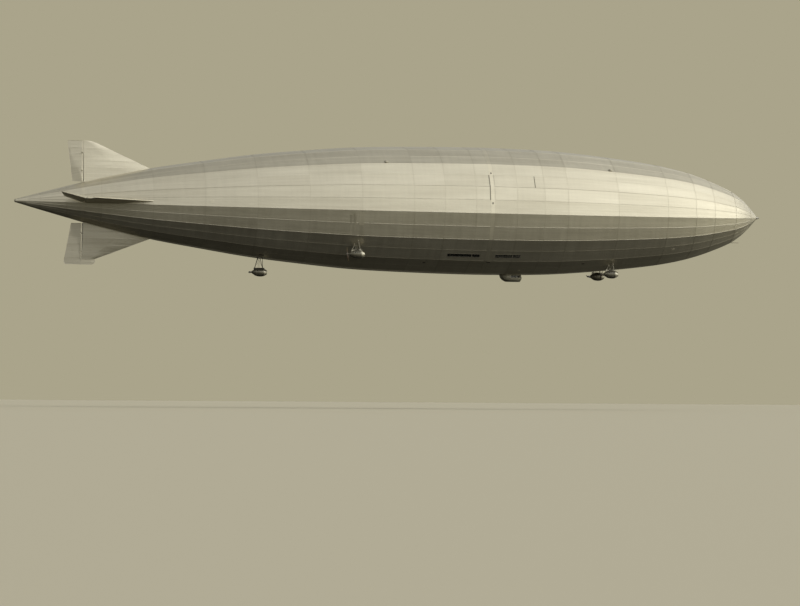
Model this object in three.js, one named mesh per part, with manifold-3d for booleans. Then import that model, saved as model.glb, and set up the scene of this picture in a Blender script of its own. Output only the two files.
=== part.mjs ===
// A large rigid passenger airship of about 1930, as a 1:10 scale model.
// Millimetres. +X is forward, +Y to port and +Z up; the origin is on the hull's axis at mid-length.
import * as THREE from 'three';
import { mergeVertices } from 'three/addons/utils/BufferGeometryUtils.js';
import Module from 'manifold-3d';

const wasm = await Module();
wasm.setup();

// Driving dimensions of the hull
const HULL_SIDES = 15;
const RIDGE_RADIUS = 0.985;
const HULL_WALL = 10;
const SEAT_GAP = 0.3;
const RUNNING_GAP = 6;

// The hull's main frames: x along the axis, and radius at the main longitudinals
const FRAMES = [
  { x: -11840, radius: 42 },
  { x: -11090, radius: 256 },
  { x: -10300, radius: 473 },
  { x: -9280, radius: 745 },
  { x: -7750, radius: 1085 },
  { x: -6210, radius: 1345 },
  { x: -4660, radius: 1585 },
  { x: -3090, radius: 1759 },
  { x: -1510, radius: 1900 },
  { x: 90, radius: 1966 },
  { x: 2020, radius: 2006 },
  { x: 3320, radius: 2005 },
  { x: 4960, radius: 1960 },
  { x: 6620, radius: 1823 },
  { x: 8290, radius: 1621 },
  { x: 9280, radius: 1423 },
  { x: 9970, radius: 1207 },
  { x: 10790, radius: 866 },
  { x: 11080, radius: 682 },
  { x: 11290, radius: 518 },
  { x: 11460, radius: 356 },
  { x: 11600, radius: 212 },
  { x: 11715, radius: 90 },
];

// The hull's sections, from the tail: where each starts and ends, and how many bays it is drawn with
const SECTIONS = [
  { name: 'tail_cone', from: -11840, to: -10300, bays: 3 },
  { name: 'hull_stern', from: -10300, to: -7750, bays: 5 },
  { name: 'hull_aft', from: -7750, to: -3090, bays: 7 },
  { name: 'hull_midship', from: -3090, to: 1050, bays: 6 },
  { name: 'hull_passenger', from: 1050, to: 4200, bays: 4 },
  { name: 'hull_forward', from: 4200, to: 8290, bays: 7 },
  { name: 'hull_bow', from: 8290, to: 10790, bays: 6 },
  { name: 'hull_nose', from: 10790, to: 11460, bays: 3 },
  { name: 'nose_cap', from: 11460, to: 11715, bays: 4 },
];

// Materials
const finish = (color, roughness, metalness) => new THREE.MeshStandardMaterial({ color, roughness, metalness });
const SILVER_COVER = finish(0xb9b29a, 0.5, 0.3);
const SILVER_FIN = finish(0xb4ad95, 0.55, 0.3);
const CAR_METAL = finish(0xa8a28c, 0.45, 0.5);
const STRUT_METAL = finish(0x6b6555, 0.5, 0.6);
const ENGINE_IRON = finish(0x3c3a36, 0.6, 0.7);
const PROPELLER_WOOD = finish(0x5b4128, 0.45, 0.0);
const WINDOW_GLASS = finish(0x2b2a24, 0.1, 0.0);
const CONE_STEEL = finish(0x77736a, 0.35, 0.9);

const airship = new THREE.Group();

// Closed solids from three.js shapes, and back again after a cut or a join
function toSolid(geometry) {
  const bare = geometry.clone();
  bare.deleteAttribute('normal');
  bare.deleteAttribute('uv');
  const merged = mergeVertices(bare, 1e-3);
  const vertProperties = new Float32Array(merged.attributes.position.array);
  const triVerts = new Uint32Array(merged.index.array);
  return new wasm.Manifold(new wasm.Mesh({ numProp: 3, vertProperties, triVerts }));
}

function toGeometry(solid) {
  const mesh = solid.getMesh();
  const geometry = new THREE.BufferGeometry();
  geometry.setAttribute('position', new THREE.BufferAttribute(new Float32Array(mesh.vertProperties), 3));
  geometry.setIndex(new THREE.BufferAttribute(new Uint32Array(mesh.triVerts), 1));
  geometry.computeVertexNormals();
  return geometry;
}

// A lofted body over rings of equal point counts, with both ends closed
function loft(rings) {
  const count = rings[0].length;
  const positions = rings.flat().flatMap((point) => [point.x, point.y, point.z]);
  const index = [];
  for (let ring = 0; ring < rings.length - 1; ring++) {
    const next = ring + 1;
    for (let side = 0; side < count; side++) {
      const a = ring * count + side;
      const b = ring * count + ((side + 1) % count);
      const c = next * count + ((side + 1) % count);
      const d = next * count + side;
      index.push(a, b, c, a, c, d);
    }
  }
  const last = (rings.length - 1) * count;
  for (let side = 1; side < count - 1; side++) {
    index.push(0, side + 1, side, last, last + side, last + side + 1);
  }
  const geometry = new THREE.BufferGeometry();
  geometry.setAttribute('position', new THREE.Float32BufferAttribute(positions, 3));
  geometry.setIndex(index);
  return geometry;
}

// The same loft with its faces turned outwards, whichever way its rings run
function loftSolid(rings) {
  const geometry = loft(rings);
  const solid = toSolid(geometry);
  if (solid.volume() > 0) return solid;
  const index = geometry.index.array;
  for (let corner = 0; corner < index.length; corner += 3) {
    [index[corner + 1], index[corner + 2]] = [index[corner + 2], index[corner + 1]];
  }
  return toSolid(geometry);
}

function place(solid, matrix) {
  return toSolid(toGeometry(solid).applyMatrix4(matrix));
}

function box(sizeX, sizeY, sizeZ, x, y, z) {
  return toSolid(new THREE.BoxGeometry(sizeX, sizeY, sizeZ).translate(x, y, z));
}

// A round bar between two points, with its own radius at each end
function bar(from, to, radius, sides = 8, endRadius = radius) {
  const along = new THREE.Vector3().subVectors(to, from);
  const geometry = new THREE.CylinderGeometry(endRadius, radius, along.length(), sides);
  const upright = new THREE.Vector3(0, 1, 0);
  const turn = new THREE.Quaternion().setFromUnitVectors(upright, along.clone().normalize());
  geometry.applyQuaternion(turn);
  geometry.translate(...new THREE.Vector3().addVectors(from, to).multiplyScalar(0.5).toArray());
  return toSolid(geometry);
}

function addMesh(name, solid, material, parent = airship) {
  const mesh = new THREE.Mesh(toGeometry(solid), material);
  mesh.name = name;
  parent.add(mesh);
  return mesh;
}

const vec = (x, y, z) => new THREE.Vector3(x, y, z);

// The hull's radius at any x: a smooth curve through the main frames
function frameSlope(i) {
  const before = FRAMES[Math.max(i - 1, 0)];
  const after = FRAMES[Math.min(i + 1, FRAMES.length - 1)];
  return (after.radius - before.radius) / (after.x - before.x);
}

function hullRadius(x) {
  const at = FRAMES.findIndex((frame) => frame.x >= x);
  const i = THREE.MathUtils.clamp(at - 1, 0, FRAMES.length - 2);
  const span = FRAMES[i + 1].x - FRAMES[i].x;
  const u = (x - FRAMES[i].x) / span;
  const rise = u * u * (3 - 2 * u);
  const leave = u * (1 - u) * (1 - u) * span * frameSlope(i);
  const arrive = u * u * (u - 1) * span * frameSlope(i + 1);
  return THREE.MathUtils.lerp(FRAMES[i].radius, FRAMES[i + 1].radius, rise) + leave + arrive;
}

// One cross-section of the hull: main longitudinals with a weaker ridge halfway between each two
function hullRing(x, inset = 0) {
  const step = Math.PI / HULL_SIDES;
  const radius = hullRadius(x) - inset / Math.cos(step);
  return Array.from({ length: 2 * HULL_SIDES }, (_, corner) => {
    const angle = Math.PI / 2 - corner * step;
    const reach = corner % 2 === 0 ? radius : radius * RIDGE_RADIUS;
    return vec(x, reach * Math.cos(angle), reach * Math.sin(angle));
  });
}

function bayEdges(from, to, bays) {
  return Array.from({ length: bays + 1 }, (_, i) => THREE.MathUtils.lerp(from, to, i / bays));
}

// The hull as one full solid, a little larger than its skin: what stands on the hull is cut back to it
function hullKeepOut(from, to) {
  const bays = SECTIONS.flatMap(({ from: a, to: b, bays: n }) => bayEdges(a, b, n));
  const edges = [...new Set([from, ...bays.filter((x) => x > from && x < to), to])];
  return loftSolid(edges.map((x) => hullRing(x, -SEAT_GAP)));
}

// Hull shell

// Promenade windows: a long strip in the facet below the main longitudinal, on both flanks
const PROMENADE = [
  { name: 'aft', from: 1260, to: 2270 },
  { name: 'fore', from: 2775, to: 3570 },
];
const PROMENADE_ANGLE = THREE.MathUtils.degToRad(-48);
const PROMENADE_HEIGHT = 104;
const GLASS_THICKNESS = 4;
const FLANKS = [
  { name: 'starboard', side: -1 },
  { name: 'port', side: 1 },
];

// A box across the hull's wall on one flank, its height along the facet
function flankBox(from, to, angle, height, side) {
  const middle = (from + to) / 2;
  const depth = 120;
  const reach = hullRadius(middle);
  const geometry = new THREE.BoxGeometry(to - from, depth, height);
  geometry.rotateX(angle);
  geometry.translate(middle, reach * Math.cos(angle), reach * Math.sin(angle));
  if (side < 0) geometry.rotateZ(Math.PI).translate(2 * middle, 0, 0);
  return toSolid(geometry);
}

// Bow gangway: a doorway in the hull's keel, with a door let down to the level on its aft edge
const DOORWAY = { from: 10840, to: 11105, halfWidth: 52, cut: 400 };
const DOOR = { axisX: 10856, halfWidth: 46, length: 286, thickness: 8, barrel: 8, pin: 5, notch: 15, arm: 5 };

function hullShell({ from, to, bays }, first, last) {
  const low = from + (first ? 0 : SEAT_GAP / 2);
  const high = to - (last ? 0 : SEAT_GAP / 2);
  const edges = bayEdges(low, high, bays);
  const outer = edges.map((x) => hullRing(x));
  const inner = edges.map((x) => {
    const slope = (hullRadius(x + 1) - hullRadius(x - 1)) / 2;
    return { x, wall: HULL_WALL * Math.hypot(1, slope) };
  });
  const hollow = inner.filter(({ x, wall }) => hullRadius(x) - wall > HULL_WALL);
  return { outer: loftSolid(outer), hollow };
}

function hullSection(section, position) {
  const { outer, hollow } = hullShell(section, position === 0, position === SECTIONS.length - 1);
  const rings = hollow.map(({ x, wall }) => hullRing(x, wall));
  const overrun = 5;
  if (position > 0) rings.unshift(rings[0].map((point) => point.clone().setX(point.x - overrun)));
  if (position < SECTIONS.length - 1) {
    rings.push(rings[rings.length - 1].map((point) => point.clone().setX(point.x + overrun)));
  }
  if (position === SECTIONS.length - 1) rings.pop();
  return outer.subtract(loftSolid(rings));
}

const sections = Object.fromEntries(SECTIONS.map((section, i) => [section.name, hullSection(section, i)]));

for (const { name, from, to } of PROMENADE) {
  for (const flank of FLANKS) {
    const window = flankBox(from, to, PROMENADE_ANGLE, PROMENADE_HEIGHT, flank.side);
    sections.hull_passenger = sections.hull_passenger.subtract(window);
    const reach = { from: from + SEAT_GAP, to: to - SEAT_GAP, height: PROMENADE_HEIGHT - 2 * SEAT_GAP };
    const opening = flankBox(reach.from, reach.to, PROMENADE_ANGLE, reach.height, flank.side);
    const edges = bayEdges(from - 10, to + 10, 2);
    const face = (HULL_WALL - GLASS_THICKNESS) / 2;
    const front = loftSolid(edges.map((x) => hullRing(x, face)));
    const back = loftSolid(edges.map((x) => hullRing(x, face + GLASS_THICKNESS)));
    const pane = opening.intersect(front).subtract(back);
    addMesh(`window_${flank.name}_${name}`, pane, WINDOW_GLASS);
  }
}

// The keel's skin line at the doorway, on the ridge below the axis
const keelZ = (x) => -hullRadius(x) * RIDGE_RADIUS;
const doorwayMiddle = (DOORWAY.from + DOORWAY.to) / 2;
const doorwayLength = DOORWAY.to - DOORWAY.from;
const doorway = box(doorwayLength, 2 * DOORWAY.halfWidth, DOORWAY.cut, doorwayMiddle, 0, keelZ(doorwayMiddle));
sections.hull_nose = sections.hull_nose.subtract(doorway);

const doorAxis = vec(DOOR.axisX, 0, keelZ(DOOR.axisX) + HULL_WALL / 2);
const armRoot = vec(DOORWAY.from - 10, 0, keelZ(DOORWAY.from - 10) + HULL_WALL / 2);
const armEnd = doorAxis.clone().sub(armRoot).normalize().multiplyScalar(-DOOR.pin - SEAT_GAP).add(doorAxis);
const arm = bar(armRoot, armEnd, DOOR.arm);
sections.hull_nose = sections.hull_nose.add(arm);

for (const { name } of SECTIONS) addMesh(name, sections[name], SILVER_COVER);

// Mooring cone on the nose
const CONE = { flange: 82, flangeLength: 10, base: 50, tip: 22, end: 11840 };
const coneStart = SECTIONS[SECTIONS.length - 1].to + SEAT_GAP;
const coneProfile = [
  new THREE.Vector2(0, coneStart),
  new THREE.Vector2(CONE.flange, coneStart),
  new THREE.Vector2(CONE.flange, coneStart + CONE.flangeLength),
  new THREE.Vector2(CONE.base, coneStart + CONE.flangeLength),
  new THREE.Vector2(CONE.tip, CONE.end),
  new THREE.Vector2(0, CONE.end),
];
const cone = toSolid(new THREE.LatheGeometry(coneProfile, 24).rotateZ(-Math.PI / 2));
addMesh('mooring_cone', cone, CONE_STEEL);

// Bow gangway door, let down
const doorGroup = new THREE.Group();
doorGroup.position.copy(doorAxis);
airship.add(doorGroup);
const doorPanel = box(
  DOOR.length, 2 * DOOR.halfWidth, DOOR.thickness, DOOR.length / 2 + DOOR.barrel / 2, 0, 0,
);
const doorBarrel = bar(vec(0, -DOOR.halfWidth, 0), vec(0, DOOR.halfWidth, 0), DOOR.barrel, 16);
const doorNotch = box(4 * DOOR.barrel, 2 * DOOR.notch, 4 * DOOR.barrel, -DOOR.barrel, 0, 0);
const doorPin = bar(vec(0, -DOOR.notch - 5, 0), vec(0, DOOR.notch + 5, 0), DOOR.pin, 16);
addMesh('bow_gangway_door', doorPanel.add(doorBarrel).subtract(doorNotch).add(doorPin), CAR_METAL, doorGroup);

// Tail fins and control surfaces
const FIN = {
  root: 480, tip: 1870, hingeX: -9840, rootThickness: 210, tipThickness: 64, edge: 7, round: 60,
};
const LEAD = { rootX: -6430, tipX: -9520 };
const LOWER_LEAD = { rootX: -6217, tipX: -9788 };
const HINGE = { rootRadius: 62, tipRadius: 30, pin: 9, notch: 22, notchDepth: 26, arm: 14, armThickness: 14 };
const HINGE_SPANS = [950, 1500];
const HORN = { from: 1735, reach: 430, clearance: 8 };

// The rounded leading edge of a rudder or elevator, and half the fin's thickness beside it
function hingeRadius(span) {
  const share = (span - FIN.root) / (FIN.tip - FIN.root);
  return THREE.MathUtils.lerp(HINGE.rootRadius, HINGE.tipRadius, share);
}

// Where the fin's leading edge stands at a distance from the hull's axis
function leadingEdge(span, lead) {
  const share = (span - FIN.root) / (FIN.tip - FIN.root);
  return THREE.MathUtils.lerp(lead.rootX, lead.tipX, share);
}

// One fin, upright above the hull; its rear edge stands clear of the surface that turns behind it
function finSolid(tip, leadLine, tipRound) {
  const spans = [FIN.root, 1000, 1500, tip - FIN.round, tip];
  const rings = spans.map((span) => {
    const round = span === tip ? tipRound : 0;
    const lead = leadingEdge(Math.min(span, FIN.tip), leadLine) - round;
    const trail = FIN.hingeX + hingeRadius(span) + RUNNING_GAP;
    const share = (span - FIN.root) / (FIN.tip - FIN.root);
    const thick = THREE.MathUtils.lerp(FIN.rootThickness, FIN.tipThickness, share) / 2;
    const ridge = THREE.MathUtils.lerp(lead, trail, 0.5);
    const half = hingeRadius(span);
    return [
      vec(lead, -FIN.edge, span), vec(ridge, -thick, span), vec(trail, -half, span),
      vec(trail, half, span), vec(ridge, thick, span), vec(lead, FIN.edge, span),
    ];
  });
  return loftSolid(rings);
}

// Arms on the fin that carry the hinge pins
function finArms() {
  const end = FIN.hingeX + HINGE.pin + SEAT_GAP;
  const start = FIN.hingeX + HINGE.rootRadius + RUNNING_GAP + 20;
  return HINGE_SPANS.map((span) => (
    box(start - end, HINGE.armThickness, 2 * HINGE.arm, (start + end) / 2, 0, span)
  ));
}

// A rudder or an elevator about its hinge line, which is its own z axis
function surfaceSolid({ inner, outer, chordInner, chordOuter, round }) {
  const spans = [inner, outer - round, outer];
  const rings = spans.map((span) => {
    const share = (span - inner) / (outer - inner);
    const cut = span === outer ? round * 0.8 : 0;
    const chord = THREE.MathUtils.lerp(chordInner, chordOuter, share) - cut;
    const half = hingeRadius(span);
    return [
      vec(0, -half, span), vec(-chord, -FIN.edge / 2, span),
      vec(-chord, FIN.edge / 2, span), vec(0, half, span),
    ];
  });
  const blade = loftSolid(rings);
  const nose = bar(vec(0, 0, inner), vec(0, 0, outer), hingeRadius(inner), 24, hingeRadius(outer));
  return blade.add(nose);
}

function addHinge(surface) {
  let solid = surface;
  for (const span of HINGE_SPANS) {
    const depth = HINGE.rootRadius + HINGE.notchDepth;
    const notch = box(depth, 4 * HINGE.rootRadius, 2 * HINGE.notch, depth / 2 - HINGE.notchDepth, 0, span);
    const pin = bar(vec(0, 0, span - HINGE.notch - 5), vec(0, 0, span + HINGE.notch + 5), HINGE.pin, 16);
    solid = solid.subtract(notch).add(pin);
  }
  return solid;
}

const RUDDER = { inner: 638, outer: 1870, chordInner: 276, chordOuter: 436, round: 40 };
const LOWER_RUDDER = { inner: 638, outer: 1885, chordInner: 300, chordOuter: 526, round: 75 };
const ELEVATOR = { inner: 650, outer: 1870, chordInner: 560, chordOuter: 750, round: 60 };
const ELEVATOR_REST = THREE.MathUtils.degToRad(12);

const SURFACES = [
  { fin: 'fin_upper', surface: 'rudder_upper', turn: 0, shape: RUDDER, rest: 0, horn: false },
  { fin: 'fin_lower', surface: 'rudder_lower', turn: Math.PI, shape: LOWER_RUDDER, rest: 0, horn: true },
  { fin: 'fin_port', surface: 'elevator_port', turn: -Math.PI / 2, shape: ELEVATOR, rest: 1, horn: false },
  {
    fin: 'fin_starboard', surface: 'elevator_starboard', turn: Math.PI / 2,
    shape: ELEVATOR, rest: -1, horn: false,
  },
];

// The balance horn at the lower rudder's tip, which reaches forward under the fin
function hornSolid() {
  const { outer } = LOWER_RUDDER;
  const rings = [HORN.from, outer - 60, outer].map((span) => {
    const reach = HORN.reach - (span === outer ? 60 : 0);
    const half = hingeRadius(span);
    return [
      vec(-10, -half, span), vec(reach * 0.6, -half * 0.8, span), vec(reach, -FIN.edge, span),
      vec(reach, FIN.edge, span), vec(reach * 0.6, half * 0.8, span), vec(-10, half, span),
    ];
  });
  return loftSolid(rings);
}

const sternKeepOut = hullKeepOut(-11000, -6000);

for (const { fin, surface, turn, shape, rest, horn } of SURFACES) {
  const quarter = new THREE.Group();
  quarter.rotation.x = turn;
  airship.add(quarter);
  const keepOut = place(sternKeepOut, new THREE.Matrix4().makeRotationX(-turn));
  const lowerTip = HORN.from - HORN.clearance;
  let finBody = horn ? finSolid(lowerTip, LOWER_LEAD, 0) : finSolid(FIN.tip, LEAD, FIN.round);
  for (const finArm of finArms()) finBody = finBody.add(finArm);
  addMesh(fin, finBody.subtract(keepOut), SILVER_FIN, quarter);

  const hinge = new THREE.Group();
  hinge.position.x = FIN.hingeX;
  hinge.rotation.z = rest * ELEVATOR_REST;
  quarter.add(hinge);
  let blade = surfaceSolid(shape);
  if (horn) blade = blade.add(hornSolid());
  addMesh(surface, addHinge(blade), SILVER_FIN, hinge);
}

// Power cars: each hangs on struts, with its engine inside and a pusher propeller behind
const CAR = {
  wall: 6, hollowFrom: -189, hollowTo: 207, clear: 400,
  radiator: 56, radiatorStart: 180, radiatorEnd: 270,
  boss: 24, bossStart: -195, bossEnd: -259,
  shaft: 12, bore: 12.8, boreStart: -215, boreEnd: -270,
};

// The power car's stations: x from its middle, half width, and half height
const CAR_STATIONS = [
  { x: -234, width: 26, height: 24 },
  { x: -185, width: 58, height: 62 },
  { x: -99, width: 88, height: 106 },
  { x: 45, width: 100, height: 125 },
  { x: 144, width: 94, height: 112 },
  { x: 203, width: 78, height: 90 },
  { x: 234, width: 60, height: 66 },
];

function carLoft(grow) {
  const sides = 16;
  return loftSolid(CAR_STATIONS.map(({ x, width, height }) => (
    Array.from({ length: sides }, (_, corner) => {
      const angle = (corner + 0.5) * 2 * Math.PI / sides;
      return vec(x, (width + grow) * Math.cos(angle), (height + grow) * Math.sin(angle));
    })
  )));
}

function carShell() {
  const boss = bar(vec(CAR.bossStart, 0, 0), vec(CAR.bossEnd, 0, 0), CAR.boss, 16);
  const radiator = bar(vec(CAR.radiatorStart, 0, 0), vec(CAR.radiatorEnd, 0, 0), CAR.radiator, 16);
  const bore = bar(vec(CAR.boreStart, 0, 0), vec(CAR.boreEnd, 0, 0), CAR.bore, 16);
  const hollowLength = CAR.hollowTo - CAR.hollowFrom;
  const inside = box(hollowLength, CAR.clear, CAR.clear, CAR.hollowFrom + hollowLength / 2, 0, 0);
  const hollow = carLoft(-CAR.wall).intersect(inside);
  return carLoft(0).subtract(hollow).subtract(radiator).add(boss).subtract(bore);
}

// The engine: one block, its lower edges seated in the car's bottom
const ENGINE = { length: 210, width: 92, height: 150, middle: 10, drop: -35 };
function engineBlock() {
  const block = box(ENGINE.length, ENGINE.width, ENGINE.height, ENGINE.middle, 0, ENGINE.drop);
  return block.intersect(carLoft(-CAR.wall - SEAT_GAP));
}

// A two-bladed wooden propeller on its shaft; each blade is a twisted, tapered board
const BLADE_STATIONS = [
  { reach: 20, chord: 30, thick: 20, twist: 55 },
  { reach: 80, chord: 44, thick: 14, twist: 40 },
  { reach: 160, chord: 50, thick: 9, twist: 27 },
  { reach: 225, chord: 36, thick: 6, twist: 20 },
  { reach: 245, chord: 14, thick: 4, twist: 18 },
];
const HUB = { shaft: -222, face: -266, middle: -284, back: -302, radius: 30, spinner: 26, tip: 8, tipX: -330 };

function propellerSolid() {
  const shaft = bar(vec(HUB.shaft, 0, 0), vec(HUB.middle, 0, 0), CAR.shaft, 16);
  const hub = bar(vec(HUB.face, 0, 0), vec(HUB.back, 0, 0), HUB.radius, 16);
  const spinner = bar(vec(HUB.back + 1, 0, 0), vec(HUB.tipX, 0, 0), HUB.spinner, 16, HUB.tip);
  const blade = loftSolid(BLADE_STATIONS.map(({ reach, chord, thick, twist }) => {
    const angle = THREE.MathUtils.degToRad(twist);
    const outline = [[-0.5, 0], [-0.2, 0.5], [0.25, 0.4], [0.5, 0], [0.25, -0.4], [-0.2, -0.5]];
    return outline.map(([across, through]) => {
      const flat = across * chord;
      const deep = through * thick;
      const forward = flat * Math.sin(angle) + deep * Math.cos(angle);
      return vec(HUB.middle + forward, flat * Math.cos(angle) - deep * Math.sin(angle), reach);
    });
  }));
  const other = place(blade, new THREE.Matrix4().makeRotationX(Math.PI));
  return shaft.add(hub).add(spinner).add(blade).add(other);
}

// Where each car hangs, how its propeller stands, and how its struts reach and spread to the hull
const CARS = [
  { name: 'aft', x: -4380, y: 0, z: -2032, blade: 90, drop: 315, spread: 240 },
  { name: 'mid_port', x: -1630, y: 1590, z: -1517, blade: 25, drop: 240, spread: 150 },
  { name: 'mid_starboard', x: -1630, y: -1590, z: -1517, blade: 155, drop: 240, spread: 150 },
  { name: 'fore_port', x: 6650, y: 750, z: -1940, blade: 100, drop: 160, spread: 110 },
  { name: 'fore_starboard', x: 6650, y: -750, z: -1940, blade: 50, drop: 160, spread: 110 },
];

// The struts of one car: x of the foot on the saddle and of the head on the hull, and share of the spread
const STRUTS = [
  { foot: -140, head: -45, side: -0.2 },
  { foot: -140, head: -45, side: 0.2 },
  { foot: 110, head: 65, side: -1 },
  { foot: 110, head: 65, side: 1 },
];
const SADDLE = { length: 330, width: 36, depth: 60, proud: 12 };
const STRUT_RADIUS = 8;

// Struts from a saddle on the car's roof, cut back to the car below and the hull above
function strutFrame({ x, y, z, drop, spread }) {
  const roof = CAR_STATIONS[3].height;
  const up = vec(0, -y, -z).normalize();
  const across = vec(0, up.z, -up.y);
  let frame = box(SADDLE.length, SADDLE.width, SADDLE.depth, 0, 0, roof + SADDLE.proud - SADDLE.depth / 2);
  for (const { foot, head, side } of STRUTS) {
    const start = vec(foot, 0, roof);
    const onHull = vec(head, 0, roof).addScaledVector(up, drop).addScaledVector(across, side * spread);
    const end = start.clone().lerp(onHull, 1.5);
    frame = frame.add(bar(start, end, STRUT_RADIUS));
  }
  const keepOut = place(hullKeepOut(x - 900, x + 900), new THREE.Matrix4().makeTranslation(-x, -y, -z));
  return frame.subtract(carLoft(SEAT_GAP)).subtract(keepOut);
}

for (const car of CARS) {
  const group = new THREE.Group();
  group.position.set(car.x, car.y, car.z);
  airship.add(group);
  addMesh(`car_${car.name}`, carShell(), CAR_METAL, group);
  addMesh(`engine_${car.name}`, engineBlock(), ENGINE_IRON, group);
  addMesh(`struts_${car.name}`, strutFrame(car), STRUT_METAL, group);
  const propeller = addMesh(`propeller_${car.name}`, propellerSolid(), PROPELLER_WOOD, group);
  propeller.rotation.x = THREE.MathUtils.degToRad(car.blade);
}

// Control car under the hull, hollow, with windows round its front
const CONTROL = { wall: 8, glass: 3, sill: -2072 };

// The control car's outline in plan at each level: its height, its aft and fore ends, and its half width
const CONTROL_LEVELS = [
  { z: -1900, aft: 3220, fore: 3898, half: 154 },
  { z: CONTROL.sill, aft: 3282, fore: 3938, half: 165 },
  { z: -2140, aft: 3350, fore: 3914, half: 156 },
  { z: -2188, aft: 3440, fore: 3892, half: 124 },
];
const CONTROL_PLAN = [
  { along: 0, across: 0.4 },
  { along: 0.1, across: 0.78 },
  { along: 0.28, across: 1 },
  { along: 0.82, across: 1 },
  { along: 1, across: 0.7 },
];

function controlLoft(inset) {
  const otherSide = CONTROL_PLAN.map(({ along, across }) => ({ along, across: -across }));
  const plan = [...CONTROL_PLAN, ...otherSide.reverse()];
  return loftSolid(CONTROL_LEVELS.map(({ z, aft, fore, half }, level) => {
    const height = z + (level === CONTROL_LEVELS.length - 1 ? inset : 0);
    return plan.map(({ along, across }) => (
      vec(THREE.MathUtils.lerp(aft + inset, fore - inset, along), across * (half - inset), height)
    ));
  }));
}

// The cab's windows stand on the sill, from one flank round the front to the other
const CAB_WINDOWS = { from: 3570, length: 600, bottom: CONTROL.sill + 6, top: -1996 };
const CAB_POSTS = [
  { x: 3665, y: 0, sizeX: 10, sizeY: 700 },
  { x: 3760, y: 0, sizeX: 10, sizeY: 700 },
  { x: 3855, y: 0, sizeX: 10, sizeY: 700 },
  { x: 3930, y: 42, sizeX: 200, sizeY: 10 },
  { x: 3930, y: -42, sizeX: 200, sizeY: 10 },
  { x: 3920, y: 114, sizeX: 50, sizeY: 22 },
  { x: 3920, y: -114, sizeX: 50, sizeY: 22 },
];
const windowHeight = CAB_WINDOWS.top - CAB_WINDOWS.bottom;
const windowMiddle = (CAB_WINDOWS.top + CAB_WINDOWS.bottom) / 2;
const windowCentre = CAB_WINDOWS.from + CAB_WINDOWS.length / 2;
let cabWindows = box(CAB_WINDOWS.length, CAB_WINDOWS.length, windowHeight, windowCentre, 0, windowMiddle);
for (const { x, y, sizeX, sizeY } of CAB_POSTS) {
  cabWindows = cabWindows.subtract(box(sizeX, sizeY, 3 * windowHeight, x, y, windowMiddle));
}
const cabShell = controlLoft(0).subtract(controlLoft(CONTROL.wall)).subtract(hullKeepOut(3000, 4600));
const cabWall = controlLoft(-20).subtract(controlLoft(CONTROL.wall + 1));
addMesh('control_car', cabShell.subtract(cabWindows.intersect(cabWall)), CAR_METAL);

const glassOuter = controlLoft(CONTROL.wall + SEAT_GAP);
const glassInner = controlLoft(CONTROL.wall + SEAT_GAP + CONTROL.glass);
const bandLength = CAB_WINDOWS.length;
const glassBand = box(bandLength, bandLength, windowHeight + 8, windowCentre - 10, 0, windowMiddle);
const cabGlass = glassOuter.subtract(glassInner).intersect(glassBand);
addMesh('control_car_glass', cabGlass, WINDOW_GLASS);

export default airship;
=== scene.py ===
import math
import random
import bpy
from mathutils import Matrix, Vector


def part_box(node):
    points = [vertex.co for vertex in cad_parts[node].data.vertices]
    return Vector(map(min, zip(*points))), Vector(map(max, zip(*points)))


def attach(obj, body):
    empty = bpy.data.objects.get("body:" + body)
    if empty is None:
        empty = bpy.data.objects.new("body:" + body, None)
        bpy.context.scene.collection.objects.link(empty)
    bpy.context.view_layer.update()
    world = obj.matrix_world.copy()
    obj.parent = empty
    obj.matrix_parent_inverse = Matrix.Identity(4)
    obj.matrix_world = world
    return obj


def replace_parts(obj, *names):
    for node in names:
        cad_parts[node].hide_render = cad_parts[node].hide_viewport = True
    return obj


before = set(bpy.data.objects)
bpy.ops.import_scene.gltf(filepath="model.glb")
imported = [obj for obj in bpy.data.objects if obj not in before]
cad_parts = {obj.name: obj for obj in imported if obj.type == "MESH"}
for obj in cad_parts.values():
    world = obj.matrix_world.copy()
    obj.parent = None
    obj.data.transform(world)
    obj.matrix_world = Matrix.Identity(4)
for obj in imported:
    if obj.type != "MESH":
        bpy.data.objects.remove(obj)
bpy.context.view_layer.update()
bpy.ops.object.select_all(action="DESELECT")

# Camera: a long lens just above the floor, off the airship's starboard side and a little towards its
# tail, so that the hull runs right across the picture with its nose to the right.
PICTURE_WIDTH, SENSOR_WIDTH, FOCAL_PIXELS, CLIP_END = 800, 36, 2399, 900
EYE = (-15.43, -72.97, -5.98)
EYE_TURNS = [math.radians(angle) for angle in (92.356, -0.385, -12.0)]

bpy.ops.object.camera_add(location=EYE, rotation=EYE_TURNS)
camera = bpy.context.object
camera.data.sensor_width = SENSOR_WIDTH
camera.data.lens = SENSOR_WIDTH * FOCAL_PIXELS / PICTURE_WIDTH
camera.data.clip_end = CLIP_END
bpy.context.scene.camera = camera

# Floor and light: a wide pale floor just under the camera, a plain backdrop of the same tone, and a
# soft surround, bright above and on the camera's and the nose's side and dark below the floor line.
FLOOR_Z = -6.2
FLOOR_SIZE = 1600
BACKDROP_COLOUR = (0.402, 0.371, 0.258, 1)
FLOOR_COLOUR = (0.6, 0.55, 0.42, 1)
LAMP_TURN, LAMP_HEIGHT, LAMP_SPREAD = math.radians(50), math.radians(48), math.radians(20)
LAMP_POWER = 0.02
LAMP_COLOUR = (1.0, 0.95, 0.84)
# The surround's light by height, from straight down (0) to straight up (1)
SURROUND = [
    (0.0, 0.006), (0.01, 0.02), (0.18, 0.055), (0.24, 0.12), (0.45, 0.26),
    (0.5, 0.8), (0.6, 1.0), (0.93, 0.9), (1.0, 0.8),
]
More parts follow.
